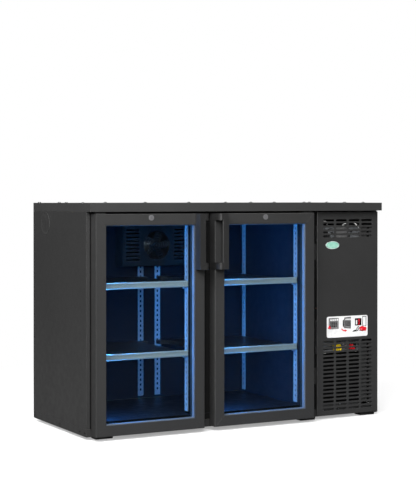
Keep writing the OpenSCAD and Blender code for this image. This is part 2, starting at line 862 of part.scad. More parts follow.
module door_hinges() {
    leaf_l = door_l + 4;
    leaf_r = door_l + 44;
    leaf_front = pin_y - 14;
    low = door_bottom - 3.6;
    high = door_top + 1.4;
    block([leaf_l, leaf_front, low], [leaf_r, 0, low + 2.4]);
    block([leaf_l, -2, low], [leaf_r, 0, low + 12]);
    translate([pin_x, pin_y, low + 1]) cylinder(r=pin_r, h=pin_len, $fn=48);
    block([leaf_l, leaf_front, high], [leaf_r, 0, high + 2.4]);
    block([leaf_l, -2, high - 10], [leaf_r, 0, high + 2.4]);
    translate([pin_x, pin_y, high - pin_len + 1]) cylinder(r=pin_r, h=pin_len, $fn=48);
}

module hinge_brackets() {
    color("#242424") place() {
        door_hinges();
        mirrored() door_hinges();
    }
}

module left_door_frame() {
    color("#3d3d3d") place() door_frame();
}

module left_outer_glass() {
    color("#9fb6c4", 0.3) place() outer_glass();
}

module left_inner_glass() {
    color("#9fb6c4", 0.3) place() inner_glass();
}

module left_glass_spacer() {
    color("#d2d6d8") place() glass_spacer();
}

module left_gasket() {
    color("#101010") place() gasket();
}

module left_handle() {
    color("#2e2e2e") place() handle();
}

module left_lock_housing() {
    color("#b8bcbe") place() lock_housing();
}

module left_lock_plug() {
    color("#c9cdcf") place() lock_plug();
}

module right_door_frame() {
    color("#3d3d3d") place() mirrored() door_frame();
}

module right_outer_glass() {
    color("#9fb6c4", 0.3) place() mirrored() outer_glass();
}

module right_inner_glass() {
    color("#9fb6c4", 0.3) place() mirrored() inner_glass();
}

module right_glass_spacer() {
    color("#d2d6d8") place() mirrored() glass_spacer();
}

module right_gasket() {
    color("#101010") place() mirrored() gasket();
}

module right_handle() {
    color("#2e2e2e") place() mirrored() handle();
}

module right_lock_housing() {
    color("#b8bcbe") place() mirrored() lock_housing();
}

module right_lock_plug() {
    color("#c9cdcf") place() mirrored() lock_plug();
}

base_frame();
feet();
left_side_panel();
right_side_panel();
back_panel();
machine_back_cover();
bulkhead_panel();
worktop();
worktop_screws();
cabinet_screws();
knockout_plug();
face_frame();
insulation();
liner();
shelf_standards();
shelf_clips();
shelf_left_lower();
shelf_left_upper();
shelf_right_lower();
shelf_right_upper();
shelf_rails();
led_strips();
evaporator_cover();
evaporator_coil();
evaporator_fan_motor();
evaporator_fan_blade();
hinge_brackets();
condenser_coil();
fan_shroud();
condenser_fan_motor();
condenser_fan_blade();
compressor();
compressor_mounts();
filter_drier();
refrigerant_pipes();
electrical_box();
control_box();
drip_tray();
power_inlet();
service_panel();
panel_badge();
panel_label();
panel_hinges();
panel_catches();
left_door_frame();
left_outer_glass();
left_inner_glass();
left_glass_spacer();
left_gasket();
left_handle();
left_lock_housing();
left_lock_plug();
right_door_frame();
right_outer_glass();
right_inner_glass();
right_glass_spacer();
right_gasket();
right_handle();
right_lock_housing();
right_lock_plug();
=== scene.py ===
# Undercounter bottle refrigerator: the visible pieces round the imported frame.
# Metres, +Z up, doors on the -Y side. Sizes in the code are millimetres unless a name says otherwise.
import json
import math

import bmesh
import bpy
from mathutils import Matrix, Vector
from mathutils.geometry import tessellate_polygon

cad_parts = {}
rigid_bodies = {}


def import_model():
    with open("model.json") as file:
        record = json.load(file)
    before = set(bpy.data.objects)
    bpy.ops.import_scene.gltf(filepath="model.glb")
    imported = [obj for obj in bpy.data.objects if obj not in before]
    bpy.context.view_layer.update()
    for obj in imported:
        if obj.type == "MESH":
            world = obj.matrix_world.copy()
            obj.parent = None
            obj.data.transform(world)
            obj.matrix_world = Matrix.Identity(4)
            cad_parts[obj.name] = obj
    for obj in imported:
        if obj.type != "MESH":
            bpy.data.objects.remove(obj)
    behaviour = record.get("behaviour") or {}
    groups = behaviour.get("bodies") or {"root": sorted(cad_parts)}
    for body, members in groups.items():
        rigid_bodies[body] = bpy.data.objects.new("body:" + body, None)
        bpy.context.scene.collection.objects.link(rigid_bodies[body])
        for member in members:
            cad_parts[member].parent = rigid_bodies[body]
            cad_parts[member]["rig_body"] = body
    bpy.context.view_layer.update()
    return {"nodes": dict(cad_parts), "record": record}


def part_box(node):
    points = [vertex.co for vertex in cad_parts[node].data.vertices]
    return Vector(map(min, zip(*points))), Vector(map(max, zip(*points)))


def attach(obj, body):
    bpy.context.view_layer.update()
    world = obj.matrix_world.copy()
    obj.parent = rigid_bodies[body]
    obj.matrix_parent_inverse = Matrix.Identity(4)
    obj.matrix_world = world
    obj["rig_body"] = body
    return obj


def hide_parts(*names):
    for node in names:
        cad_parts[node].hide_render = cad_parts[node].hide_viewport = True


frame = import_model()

MM = 0.001
PI = math.pi
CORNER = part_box("base_frame")[0]    # lower left front corner of the cabinet body
BODY_WIDE, BODY_DEEP = 1280, 520    # the cabinet without its doors
UP, BACK = (0, 0, 1), (0, 1, 0)     # axes that turned parts stand on
SMOOTH_BELOW = 38                   # degrees between faces that still shade as one surface
PARALLAX = 0.55                     # what lies deeper behind the service panel stands this much further right
SLOT_LENGTH, SLOT_HEIGHT = 52, 8.5  # one slot of the service panel
SLOT_PITCH_X, SLOT_PITCH_Z = 61, 15.8
TOP_ROW = 33.75                     # from the service panel's top edge to its first row of slots


def at(x, y, z):
    """A place in millimetres from the body's lower left front corner, as a point in the frame."""
    return CORNER + Vector((x, y, z)) * MM


def span(node):
    """A node's low and high corners in the same millimetres."""
    low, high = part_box(node)
    return (low - CORNER) / MM, (high - CORNER) / MM


def facing_front(u, v, w):
    """Sheet standing upright, its face towards the front: u right, v up, w back."""
    return (u, w, v)


def lying(u, v, w):
    """Sheet lying flat: u right, v back, w up."""
    return (u, v, w)


def border(low, high):
    """The outline of a box seen from the front."""
    return [(low.x, low.z), (high.x, low.z), (high.x, high.z), (low.x, high.z)]


# ------------------------------------------------------------------ finishes

class Nodes:
    """A shader tree being laid out, with short calls for the nodes that come up often."""

    def __init__(self, tree):
        self.tree = tree
        tree.nodes.clear()

    def add(self, kind, **settings):
        node = self.tree.nodes.new("ShaderNode" + kind)
        for key, value in settings.items():
            setattr(node, key, value)
        return node

    def link(self, source, socket):
        """Joins a node's output to a socket, or sets the socket to a plain value."""
        if hasattr(source, "node"):
            self.tree.links.new(source, socket)
        else:
            socket.default_value = source

    def made(self, kind, output=0, settings=None, **values):
        """One node of a kind with its sockets fed, and its output. Socket names have _ for a space."""
        node = self.add(kind, **(settings or {}))
        for key, value in values.items():
            self.link(value, node.inputs[key.replace("_", " ")])
        return node.outputs[output]

    def between(self, factor, low, high, start=0.0, end=1.0):
        return self.made("MapRange", From_Min=start, From_Max=end, To_Min=low, To_Max=high, Value=factor)

    def times(self, one, two):
        node = self.add("Math", operation="MULTIPLY")
        self.link(one, node.inputs[0])
        self.link(two, node.inputs[1])
        return node.outputs[0]

    def mixed(self, factor, one, two):
        """Two shaders mixed."""
        node = self.add("MixShader")
        for source, socket in zip((factor, one, two), node.inputs):
            self.link(source, socket)
        return node.outputs[0]


class Finish(Nodes):
    """A material made of nodes, read in the piece's own coordinates."""

    def __init__(self, name, **sockets):
        self.mat = bpy.data.materials.new(name)
        self.mat.use_nodes = True
        super().__init__(self.mat.node_tree)
        self.out = self.add("OutputMaterial")
        self.shader = self.add("BsdfPrincipled")
        self.link(self.shader.outputs[0], self.out.inputs[0])
        for key, value in sockets.items():
            self.shader.inputs[key.replace("_", " ")].default_value = value
        self.where = self.made("TexCoord", "Object")
        self.normal = None

    def grain(self, scale, detail=2.0, stretch=None):
        where = self.made("Mapping", Scale=stretch, Vector=self.where) if stretch else self.where
        return self.made("TexNoise", "Fac", Scale=scale, Detail=detail, Vector=where)

    def cells(self, scale, output="Distance"):
        return self.made("TexVoronoi", output, Scale=scale, Vector=self.where)

    def tint(self, factor, one, two, start=0.35, end=0.65):
        node = self.add("ValToRGB")
        for point, place, colour in zip(node.color_ramp.elements, (start, end), (one, two)):
            point.position = place
            point.color = (*colour, 1)
        self.link(factor, node.inputs[0])
        return node.outputs[0]

    def lay(self, factor, under, over, mode="MIX"):
        node = self.add("Mix", data_type="RGBA", blend_type=mode)
        self.link(factor, node.inputs[0])
        for socket, colour in ((node.inputs[6], under), (node.inputs[7], over)):
            self.link(colour if hasattr(colour, "node") else (*colour, 1), socket)
        return node.outputs[2]

    def colour(self, source):
        self.link(source, self.shader.inputs["Base Color"])
        return self

    def rough(self, factor, low, high):
        self.link(self.between(factor, low, high, 0.3, 0.7), self.shader.inputs["Roughness"])
        return self

    def relief(self, height, depth_mm, strength=1.0):
        under = {} if self.normal is None else {"Normal": self.normal}
        self.normal = self.made("Bump", Strength=strength, Distance=depth_mm * MM, Height=height, **under)
        self.link(self.normal, self.shader.inputs["Normal"])
        return self

    def wear_and_highlight(self, under, over, amount=0.6):
        """Lighter edges, where the piece's mesh marks them: partly rubbed wear, partly a painted highlight of
        light catching the eased edges.
        """
        mark = self.made("Attribute", "Fac", {"attribute_name": "wear_and_highlight"})
        patch = self.between(self.grain(60, 3), 0.0, 1.0, 0.38, 0.6)
        return self.lay(self.times(self.times(mark, patch), amount), under, over)


def grey(value, warm=0.0):
    return (value * (1 + warm), value, value * (1 - warm))


def shade(tone, by, lift=0.0):
    return tuple(min(1, c * by + lift) for c in tone)


def powder_coat(name, tone, low=0.36, high=0.5, peel=0.05, edge=2.6, gloss=0.5):
    f = Finish(name, Specular_IOR_Level=gloss)
    cloud = f.grain(4.5, 3)
    fleck = f.grain(1400, 1)
    base = f.tint(cloud, shade(tone, 0.96), shade(tone, 1.04))
    base = f.lay(f.between(fleck, 0, 0.35, 0.58, 0.75), base, shade(tone, 2.2))
    # Marked edges take the lighter edge tone: rubbed wear, and where the edge factor is large, as on the
    # doors, a painted highlight.
    base = f.wear_and_highlight(base, shade(tone, edge))
    f.colour(base).rough(f.grain(38, 4), low, high)
    return f.relief(f.grain(620, 2), peel).relief(f.grain(9, 1), 0.06, 0.3)


def drawn_metal(name, tone, along, low, high):
    """Bare metal with fine draw lines along one axis."""
    f = Finish(name, Metallic=1.0)
    streak = f.grain(900, 3, [0.012 if axis == along else 1 for axis in "XYZ"])
    base = f.tint(streak, shade(tone, 0.82), shade(tone, 1.12))
    base = f.lay(f.between(f.grain(26, 4), 0, 0.25, 0.55, 0.72), base, shade(tone, 0.6))
    f.colour(f.wear_and_highlight(base, shade(tone, 1.35), 0.5)).rough(streak, low, high)
    return f.relief(streak, 0.012)


def zinc_plate(name, tone):
    """Dull plated or anodised metal: part mirror, part matt, with fine draw lines."""
    f = Finish(name, Metallic=0.35, Specular_IOR_Level=0.6)
    streak = f.grain(1100, 3, (0.02, 1, 1))
    base = f.tint(streak, shade(tone, 0.86), shade(tone, 1.1))
    base = f.lay(f.between(f.grain(30, 4), 0, 0.2, 0.55, 0.75), base, shade(tone, 0.7))
    f.colour(f.wear_and_highlight(base, shade(tone, 1.3), 0.5)).rough(streak, 0.36, 0.5)
    return f.relief(streak, 0.008)


def spangled(name, tone):
    f = Finish(name, Metallic=0.85)
    flakes = f.cells(130, "Color")
    f.colour(f.lay(0.22, tone, flakes, "SOFT_LIGHT")).rough(f.grain(45, 4), 0.3, 0.5)
    return f.relief(f.grain(300, 2), 0.02)


def moulded(name, tone, low=0.45, high=0.62):
    """Plastic with a fine moulded grain."""
    f = Finish(name)
    base = f.tint(f.grain(12, 3), shade(tone, 0.86), shade(tone, 1.12))
    f.colour(f.wear_and_highlight(base, shade(tone, 1.6, 0.01), 0.4)).rough(f.grain(60, 3), low, high)
    return f.relief(f.cells(900), 0.03)


def rubber(name, tone):
    f = Finish(name, Specular_IOR_Level=0.35)
    dust = f.between(f.grain(30, 5), 0, 0.22, 0.5, 0.75)
    f.colour(f.lay(dust, tone, grey(0.09))).rough(f.grain(80, 3), 0.55, 0.75)
    return f.relief(f.grain(700, 2), 0.02)


def clear_glass(name):
    """Thin pane: what is behind it shows, and it mirrors a little, more at a slant, with faint smears."""
    f = Finish(name)
    f.tree.nodes.remove(f.shader)
    smears = f.between(f.grain(18, 5, (1, 1, 0.35)), 0.012, 0.05, 0.4, 0.75)
    passing = f.made("BsdfTransparent", Color=(0.85, 0.88, 0.9, 1))
    shine = f.made("BsdfGlossy", Color=(0.95, 0.97, 1.0, 1), Roughness=smears)
    slant = f.times(f.made("Fresnel", IOR=1.42), 0.12)
    f.link(f.mixed(slant, passing, shine), f.out.inputs[0])
    return f


def glowing(name, colour, strength):
    """Milky lens lit from inside, a little brighter over each lamp."""
    f = Finish(name, Roughness=0.3)
    rows = {"wave_type": "BANDS", "bands_direction": "Z"}
    dots = f.between(f.made("TexWave", "Fac", rows, Scale=19.0, Vector=f.where), 0.82, 1.0)
    f.colour(f.lay(dots, (0.25, 0.35, 0.8), (0.6, 0.75, 1.0)))
    f.shader.inputs["Emission Strength"].default_value = strength
    f.link(f.lay(dots, shade(colour, 0.75), colour), f.shader.inputs["Emission Color"])
    return f


def cut_foam(name):
    f = Finish(name, Specular_IOR_Level=0.2)
    pores = f.cells(420)
    f.colour(f.tint(f.grain(25, 5), (0.62, 0.53, 0.27), (0.78, 0.7, 0.44))).rough(pores, 0.8, 0.95)
    return f.relief(pores, 0.35)


def enamel(name, tone, ring):
    f = Finish(name, Coat_Weight=1.0, Coat_Roughness=0.05)
    pearl = f.tint(f.grain(90, 4), tone, ring, 0.3, 0.8)
    return f.colour(pearl).rough(f.grain(200, 2), 0.15, 0.3)


def film(name, tone):
    f = Finish(name, Coat_Weight=0.3, Coat_Roughness=0.15)
    sheen = f.tint(f.grain(14, 3), shade(tone, 0.9), tone)
    f.colour(sheen).rough(f.grain(60, 3), 0.18, 0.32)
    return f.relief(f.grain(240, 2), 0.01)


def hot_copper(name):
    f = Finish(name, Metallic=1.0)
    stain = f.tint(f.grain(34, 5), (0.62, 0.27, 0.14), (0.86, 0.46, 0.28), 0.3, 0.7)
    return f.colour(stain).rough(f.grain(120, 3), 0.2, 0.42).relief(f.grain(500, 2), 0.012)


FINISHES = {    # one for each material slot of the record
    "black_shell": powder_coat("black_powder_coat", grey(0.020)),
    "worktop_paint": powder_coat("worktop_powder_coat", grey(0.026), 0.33, 0.47),
    "dark_screws": drawn_metal("black_zinc", grey(0.09, 0.02), "Z", 0.35, 0.5),
    "plug_plastic": moulded("plug_polymer", grey(0.022), 0.5, 0.65),
    "feet_plastic": moulded("foot_polymer", grey(0.012), 0.55, 0.7),
    "face_frame_black": powder_coat("matt_black_paint", grey(0.004), 0.65, 0.8, 0.03, 2, 0.15),
    "foam": cut_foam("rigid_foam"),
    "liner_sheet": powder_coat("liner_coating", (0.009, 0.011, 0.016), 0.4, 0.55, 0.01, 1.6),
    "galvanised_sheet": spangled("galvanised_sheet", (0.42, 0.44, 0.45)),
    "standard_steel": zinc_plate("zinc_plated_standard", (0.42, 0.45, 0.5)),
    "shelf_sheet": drawn_metal("shelf_sheet", (0.2, 0.22, 0.25), "X", 0.35, 0.5),
    "rail_aluminium": zinc_plate("anodised_rail", (0.56, 0.62, 0.6)),
    "led_lens": glowing("blue_lens", (0.08, 0.4, 1.0), 9.0),
    "cover_sheet": powder_coat("cover_coating", grey(0.018), 0.45, 0.6, 0.03),
    "coil_fins": drawn_metal("mill_finish_fins", (0.6, 0.62, 0.63), "Z", 0.35, 0.55),
    "fan_motor_metal": powder_coat("motor_enamel", grey(0.05), 0.35, 0.5, 0.03),
    "fan_plastic": moulded("fan_polymer", grey(0.014)),
    "fan_blade_metal": drawn_metal("pressed_aluminium", (0.62, 0.64, 0.66), "Z", 0.28, 0.45),
    "shroud_sheet": powder_coat("shroud_paint", grey(0.012), 0.45, 0.6),
    "bracket_steel": powder_coat("bracket_coat", grey(0.014), 0.4, 0.55, 0.03),
    "compressor_paint": powder_coat("compressor_enamel", grey(0.006), 0.15, 0.3, 0.06),
    "mount_rubber": rubber("mount_rubber", grey(0.008)),
    "copper": hot_copper("drawn_copper"),
    "box_plastic": moulded("box_polymer", (0.17, 0.18, 0.19), 0.4, 0.55),
    "inlet_plastic": moulded("inlet_polymer", grey(0.01)),
    "panel_paint": powder_coat("panel_powder_coat", grey(0.021)),
    "badge_enamel": enamel("mint_enamel", (0.17, 0.4, 0.31), (0.32, 0.54, 0.45)),
    "label_film": film("label_film", grey(0.7)),
    # The door paint's edge factor of 4.5 paints a highlight along the door frames' eased edges.
    "door_paint": powder_coat("door_powder_coat", grey(0.0205), edge=4.5),
    "door_glass": clear_glass("clear_pane"),
    "spacer_aluminium": zinc_plate("anodised_spacer", (0.18, 0.2, 0.24)),
    "gasket_rubber": rubber("gasket_rubber", grey(0.008)),
    "handle_paint": powder_coat("handle_coat", grey(0.014), 0.3, 0.4, 0.03),
    "lock_chrome": zinc_plate("satin_chrome", (0.12, 0.12, 0.125)),
}
EXTRA = {       # what only the visual pieces have
    "rim_metal": zinc_plate("badge_rim", (0.55, 0.58, 0.58)),
    "grey_ink": film("grey_ink", grey(0.16)),
    "dark_ink": film("dark_ink", grey(0.006)),
    "red_ink": film("red_ink", (0.6, 0.008, 0.02)),
    "yellow_polymer": moulded("yellow_polymer", (0.88, 0.62, 0.01), 0.3, 0.45),
    "red_polymer": moulded("red_polymer", (0.8, 0.012, 0.02), 0.3, 0.45),
    "white_sleeve": moulded("white_sleeve", (0.72, 0.72, 0.7), 0.35, 0.5),
    "bright_zinc": drawn_metal("bright_zinc", (0.7, 0.71, 0.72), "Z", 0.2, 0.36),
    "black_sleeve": moulded("black_sleeve", grey(0.012), 0.4, 0.55),
    # Near-black paint for blocks that stand for the shade inside the electrical box's openings: painted
    # shade.
    "black_hole": powder_coat("painted_recess_shade", grey(0.002), 0.6, 0.8),
    "dark_fins": powder_coat("black_coated_fins", grey(0.0035), 0.4, 0.6, 0.02),
}


def finish_of(name):
    return (FINISHES.get(name) or EXTRA[name]).mat


# ------------------------------------------------------------------ mesh tools

def stadium(cx, cy, length, height, steps=7):
    r = height / 2
    half = length / 2 - r
    right = [(cx + half + r * math.cos(a), cy + r * math.sin(a))
             for a in (-PI / 2 + PI * i / steps for i in range(steps + 1))]
    left = [(cx - half - r * math.cos(a), cy - r * math.sin(a))
            for a in (-PI / 2 + PI * i / steps for i in range(steps + 1))]
    return right + left


def rounded(x0, y0, x1, y1, r, steps=5):
    loop = []
    for cx, cy, first in ((x1 - r, y0 + r, -PI / 2), (x1 - r, y1 - r, 0), (x0 + r, y1 - r, PI / 2),
                          (x0 + r, y0 + r, PI)):
        angles = [first + PI / 2 * i / steps for i in range(steps + 1)]
        loop += [(cx + r * math.cos(a), cy + r * math.sin(a)) for a in angles]
    return loop


def oval(cx, cy, rx, ry, steps=48):
    angles = [2 * PI * i / steps for i in range(steps)]
    return [(cx + rx * math.cos(a), cy + ry * math.sin(a)) for a in angles]


def turned(loop, ccw=True):
    area = sum(a[0] * b[1] - b[0] * a[1] for a, b in zip(loop, loop[1:] + loop[:1]))
    return list(loop) if (area > 0) == ccw else list(reversed(loop))


def inset(loop, amount):
    """Moves each side of a loop to its left by the amount, keeping the corners mitred."""
    out = []
    n = len(loop)
    for i in range(n):
        a, b, c = Vector(loop[i - 1]), Vector(loop[i]), Vector(loop[(i + 1) % n])
        d1, d2 = (b - a).normalized(), (c - b).normalized()
        n1, n2 = Vector((-d1.y, d1.x)), Vector((-d2.y, d2.x))
        bisector = n1 + n2
        out.append(tuple(b + bisector * (amount * 2 / max(bisector.length_squared, 0.5))))
    return out


class Work:
    """A mesh being made, in millimetres from the body's corner, with the finish of each face."""

    def __init__(self, *finishes):
        self.bm = bmesh.new()
        self.finishes = list(finishes)
        self.mark = self.bm.faces.layers.float.new("wear_and_highlight")
        self.current = 0

    def use(self, finish):
        if finish not in self.finishes:
            self.finishes.append(finish)
        self.current = self.finishes.index(finish)
        return self

    def face(self, points, wear_and_highlight=0.0):
        try:
            f = self.bm.faces.new(points)
        except ValueError:
            return None
        f.material_index = self.current
        f[self.mark] = wear_and_highlight
        return f

    def ring(self, points):
        return [self.bm.verts.new(p) for p in points]

    def bridge(self, one, two, wear_and_highlight=0.0, closed=True):
        n = len(one)
        for i in range(n if closed else n - 1):
            j = (i + 1) % n
            self.face([one[i], one[j], two[j], two[i]], wear_and_highlight)

    def plate(self, loops, depth, place=facing_front, start=0.0, ease=0.35):
        """A flat sheet with holes: the first loop is its outline. Its edges are eased on both faces."""
        loops = [turned(loops[0])] + [turned(l, False) for l in loops[1:]]
        near = [inset(l, ease) for l in loops]
        levels = ((near, start), (loops, start + ease), (loops, start + depth - ease), (near, start + depth))
        rings = [[self.ring(place(u, v, w) for u, v in loop) for loop in group] for group, w in levels]
        tiles = tessellate_polygon([[Vector((u, v, 0)) for u, v in loop] for loop in near])
        for level, flip in ((0, False), (3, True)):
            points = [v for ring in rings[level] for v in ring]
            for tri in tiles:
                corner = [points[i] for i in tri]
                self.face(list(reversed(corner)) if flip else corner)
        for k in range(3):
            for one, two in zip(rings[k], rings[k + 1]):
                self.bridge(one, two, 1.0 if k != 1 else 0.0)
        return self

    def sweep(self, loop, profile, place=facing_front, wear_and_highlight=()):
        """A closed profile of (inset, depth) points carried round a loop with mitred corners."""
        loop = turned(loop)
        rings = [self.ring(place(u, v, w) for u, v in inset(loop, d)) for d, w in profile]
        for k in range(len(rings)):
            self.bridge(rings[k], rings[(k + 1) % len(rings)], 1.0 if k in wear_and_highlight else 0.0)
        return self

    def turn(self, profile, centre, axis, steps=48, wear_and_highlight=()):
        """A profile of (radius, height) points turned round an axis; ends on the axis are closed."""
        axis = Vector(axis).normalized()
        side = axis.orthogonal().normalized()
        other = axis.cross(side)
        rings = []
        for r, h in profile:
            base = Vector(centre) + axis * h
            if r < 1e-6:
                rings.append([self.bm.verts.new(base)])
            else:
                rings.append(self.ring(base + side * (r * math.cos(2 * PI * i / steps))
                                       + other * (r * math.sin(2 * PI * i / steps)) for i in range(steps)))
        for k, (one, two) in enumerate(zip(rings, rings[1:])):
            mark = 1.0 if k in wear_and_highlight else 0.0
            if len(one) == 1 or len(two) == 1:
                tip, rim = (one[0], two) if len(one) == 1 else (two[0], one)
                for i in range(steps):
                    self.face([tip, rim[i], rim[(i + 1) % steps]], mark)
            else:
                self.bridge(one, two, mark)
        return self

    def brick(self, low, high, ease=0.6, cuts=2):
        """A box with rounded edges."""
        low, high = Vector(low), Vector(high)
        made = bmesh.ops.create_cube(self.bm, size=1.0)
        verts = made["verts"]
        for v in verts:
            v.co = Vector([(lo + hi) / 2 + c * (hi - lo) for lo, hi, c in zip(low, high, v.co)])
        for v in verts:
            for f in v.link_faces:
                f.material_index = self.current
        ease = min(ease, 0.45 * min(high - low))
        if ease > 0:
            edges = list(dict.fromkeys(e for v in verts for e in v.link_edges))
            done = bmesh.ops.bevel(self.bm, geom=edges, offset=ease, segments=cuts, profile=0.5,
                                   affect="EDGES", clamp_overlap=True)
            for f in done["faces"]:
                f.material_index = self.current
                f[self.mark] = 1.0
        return self

    def tube(self, points, radius, sides=14, smooth=6, caps=True):
        """A round tube along a smooth line through the points."""
        line = smooth_line(points, smooth)
        rings = []
        up = None
        for i, p in enumerate(line):
            ahead = (line[min(i + 1, len(line) - 1)] - line[max(i - 1, 0)]).normalized()
            up = (ahead.orthogonal() if up is None else up - ahead * up.dot(ahead)).normalized()
            other = ahead.cross(up)
            rings.append(self.ring(p + up * (radius * math.cos(2 * PI * k / sides))
                                   + other * (radius * math.sin(2 * PI * k / sides)) for k in range(sides)))
        for one, two in zip(rings, rings[1:]):
            self.bridge(one, two)
        if caps:
            self.face(list(reversed(rings[0])))
            self.face(rings[-1])
        return self

    def piece(self, name, body, *nodes, slot=None):
        """Finishes the mesh: outward faces, even shading, its finish, and the body that it rides on."""
        bmesh.ops.remove_doubles(self.bm, verts=self.bm.verts, dist=0.0005)
        bmesh.ops.recalc_face_normals(self.bm, faces=self.bm.faces)
        mesh = frame_mesh(name, self.bm)
        for finish in self.finishes:
            mesh.materials.append(finish_of(finish))
        evened(name, mesh, body, nodes)


def frame_mesh(name, bm):
    """The mesh of work done in millimetres, in the frame's metres and with smooth faces."""
    for v in bm.verts:
        v.co = CORNER + v.co * MM
    for f in bm.faces:
        f.smooth = True
    mesh = bpy.data.meshes.new(name)
    bm.to_mesh(mesh)
    bm.free()
    return mesh


def placed(name, data):
    """A new object of the scene."""
    made = bpy.data.objects.new(name, data)
    bpy.context.scene.collection.objects.link(made)
    return made


def plain_mesh(maker):
    """The mesh that an object's modifiers make of it. The object itself goes."""
    bpy.context.view_layer.update()
    graph = bpy.context.evaluated_depsgraph_get()
    made = bpy.data.meshes.new_from_object(maker.evaluated_get(graph), depsgraph=graph)
    maker.modifiers.clear()
    bpy.data.objects.remove(maker)
    return made


def settle(name, mesh, body, nodes):
    """Puts a finished mesh into the scene, on its body and in the place of its nodes."""
    mesh.name = name
    piece = placed(name, mesh)
    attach(piece, body)
    if nodes:
        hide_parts(*nodes)


def evened(name, mesh, body, nodes):
    """Settles a mesh with its shading weighted by face size."""
    mesh.set_sharp_from_angle(angle=math.radians(SMOOTH_BELOW))
    maker = placed(name + "_maker", mesh)
    even = maker.modifiers.new("even", "WEIGHTED_NORMAL")
    even.keep_sharp = True
    even.weight = 60
    settle(name, plain_mesh(maker), body, nodes)


def smooth_line(points, per):
    pts = [Vector(p) for p in points]
    if per <= 1 or len(pts) < 3:
        return pts
    out = []
    ends = [2 * pts[0] - pts[1]] + pts + [2 * pts[-1] - pts[-2]]
    for i in range(1, len(ends) - 2):
        a, b, c, d = ends[i - 1:i + 3]
        for s in range(per):
            t = s / per
            out.append(0.5 * (2 * b + (c - a) * t + (2 * a - 5 * b + 4 * c - d) * t * t
                              + (3 * b - a - 3 * c + d) * t * t * t))
    return out + [pts[-1]]


def cornered(points, radius, steps=5):
    """The same line with each corner rounded to a bend."""
    pts = [Vector(p) for p in points]
    out = [pts[0]]
    for a, b, c in zip(pts, pts[1:], pts[2:]):
        reach = min(radius, (b - a).length * 0.45, (c - b).length * 0.45)
        p, q = b + (a - b).normalized() * reach, b + (c - b).normalized() * reach
        for t in (i / steps for i in range(steps + 1)):
            out.append(p * (1 - t) ** 2 + b * 2 * t * (1 - t) + q * t * t)
    return out + [pts[-1]]


def body_of(node):
    return frame["nodes"][node]["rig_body"]


def eased(node, width, cuts=2):
    """The node's own shape with its sharp edges rounded, as a real fold, cut or casting has them."""
    bm = bmesh.new()
    bm.from_mesh(frame["nodes"][node].data)
    for v in bm.verts:
        v.co = (v.co - CORNER) / MM
    bmesh.ops.remove_doubles(bm, verts=bm.verts, dist=0.002)
    bmesh.ops.recalc_face_normals(bm, faces=bm.faces)
    bmesh.ops.dissolve_limit(bm, angle_limit=math.radians(0.6), verts=bm.verts, edges=bm.edges)
    mark = bm.faces.layers.float.new("wear_and_highlight")
    sharp = [e for e in bm.edges if len(e.link_faces) == 2 and e.calc_face_angle(0) > math.radians(32)]
    done = bmesh.ops.bevel(bm, geom=sharp, offset=width, segments=cuts, profile=0.5, affect="EDGES",
                           clamp_overlap=True, loop_slide=True)
    for f in done["faces"]:
        f[mark] = 1.0
    bmesh.ops.triangulate(bm, faces=[f for f in bm.faces if len(f.verts) > 4])
    for f in bm.faces:
        f.material_index = 0
    mesh = frame_mesh(node, bm)
    mesh.materials.append(finish_of(SLOT_OF[node]))
    evened(node + "_finished", mesh, body_of(node), [node])


SLOT_OF = {part["node"]: part["material_slot"] for part in frame["record"]["subparts"]}


# ------------------------------------------------------------------ geometry node tools

def node_group(name, inputs):
    group = bpy.data.node_groups.new(name, "GeometryNodeTree")
    group.interface.new_socket("Geometry", in_out="INPUT", socket_type="NodeSocketGeometry")
    for label, kind in inputs:
        group.interface.new_socket(label, in_out="INPUT", socket_type="NodeSocket" + kind)
    group.interface.new_socket("Geometry", in_out="OUTPUT", socket_type="NodeSocketGeometry")
    return group, group.nodes.new("NodeGroupInput"), group.nodes.new("NodeGroupOutput")


def close_tree(group, start, finish, made):
    """Makes the copies real and gives them their finish."""
    real = group.nodes.new("GeometryNodeRealizeInstances")
    paint = group.nodes.new("GeometryNodeSetMaterial")
    group.links.new(made, real.inputs[0])
    group.links.new(real.outputs[0], paint.inputs["Geometry"])
    group.links.new(start.outputs["Finish"], paint.inputs["Material"])
    group.links.new(paint.outputs[0], finish.inputs[0])


def fastener_tree():
    """One head on each point, standing along the point's facing and turned at random about it."""
    group, start, finish = node_group("fasteners", [("Head", "Object"), ("Seed", "Int"),
                                                     ("Finish", "Material")])
    add, link = group.nodes.new, group.links.new
    head = add("GeometryNodeObjectInfo")
    link(start.outputs["Head"], head.inputs["Object"])
    facing = add("GeometryNodeInputNamedAttribute")
    facing.data_type = "FLOAT_VECTOR"
    facing.inputs["Name"].default_value = "facing"
    stand = add("FunctionNodeAlignRotationToVector")
    stand.axis = "Z"
    link(facing.outputs["Attribute"], stand.inputs["Vector"])
    copies = add("GeometryNodeInstanceOnPoints")
    link(start.outputs["Geometry"], copies.inputs["Points"])
    link(head.outputs["Geometry"], copies.inputs["Instance"])
    link(stand.outputs[0], copies.inputs["Rotation"])
    spin = add("FunctionNodeRandomValue")
    spin.data_type = "FLOAT"
    spin.inputs["Min"].default_value = 0.0
    spin.inputs["Max"].default_value = 2 * PI
    link(start.outputs["Seed"], spin.inputs["Seed"])
    turn = add("ShaderNodeCombineXYZ")
    link(spin.outputs[1], turn.inputs["Z"])
    twist = add("GeometryNodeRotateInstances")
    twist.inputs["Local Space"].default_value = True
    link(copies.outputs[0], twist.inputs["Instances"])
    link(turn.outputs[0], twist.inputs["Rotation"])
    close_tree(group, start, finish, twist.outputs[0])
    return group


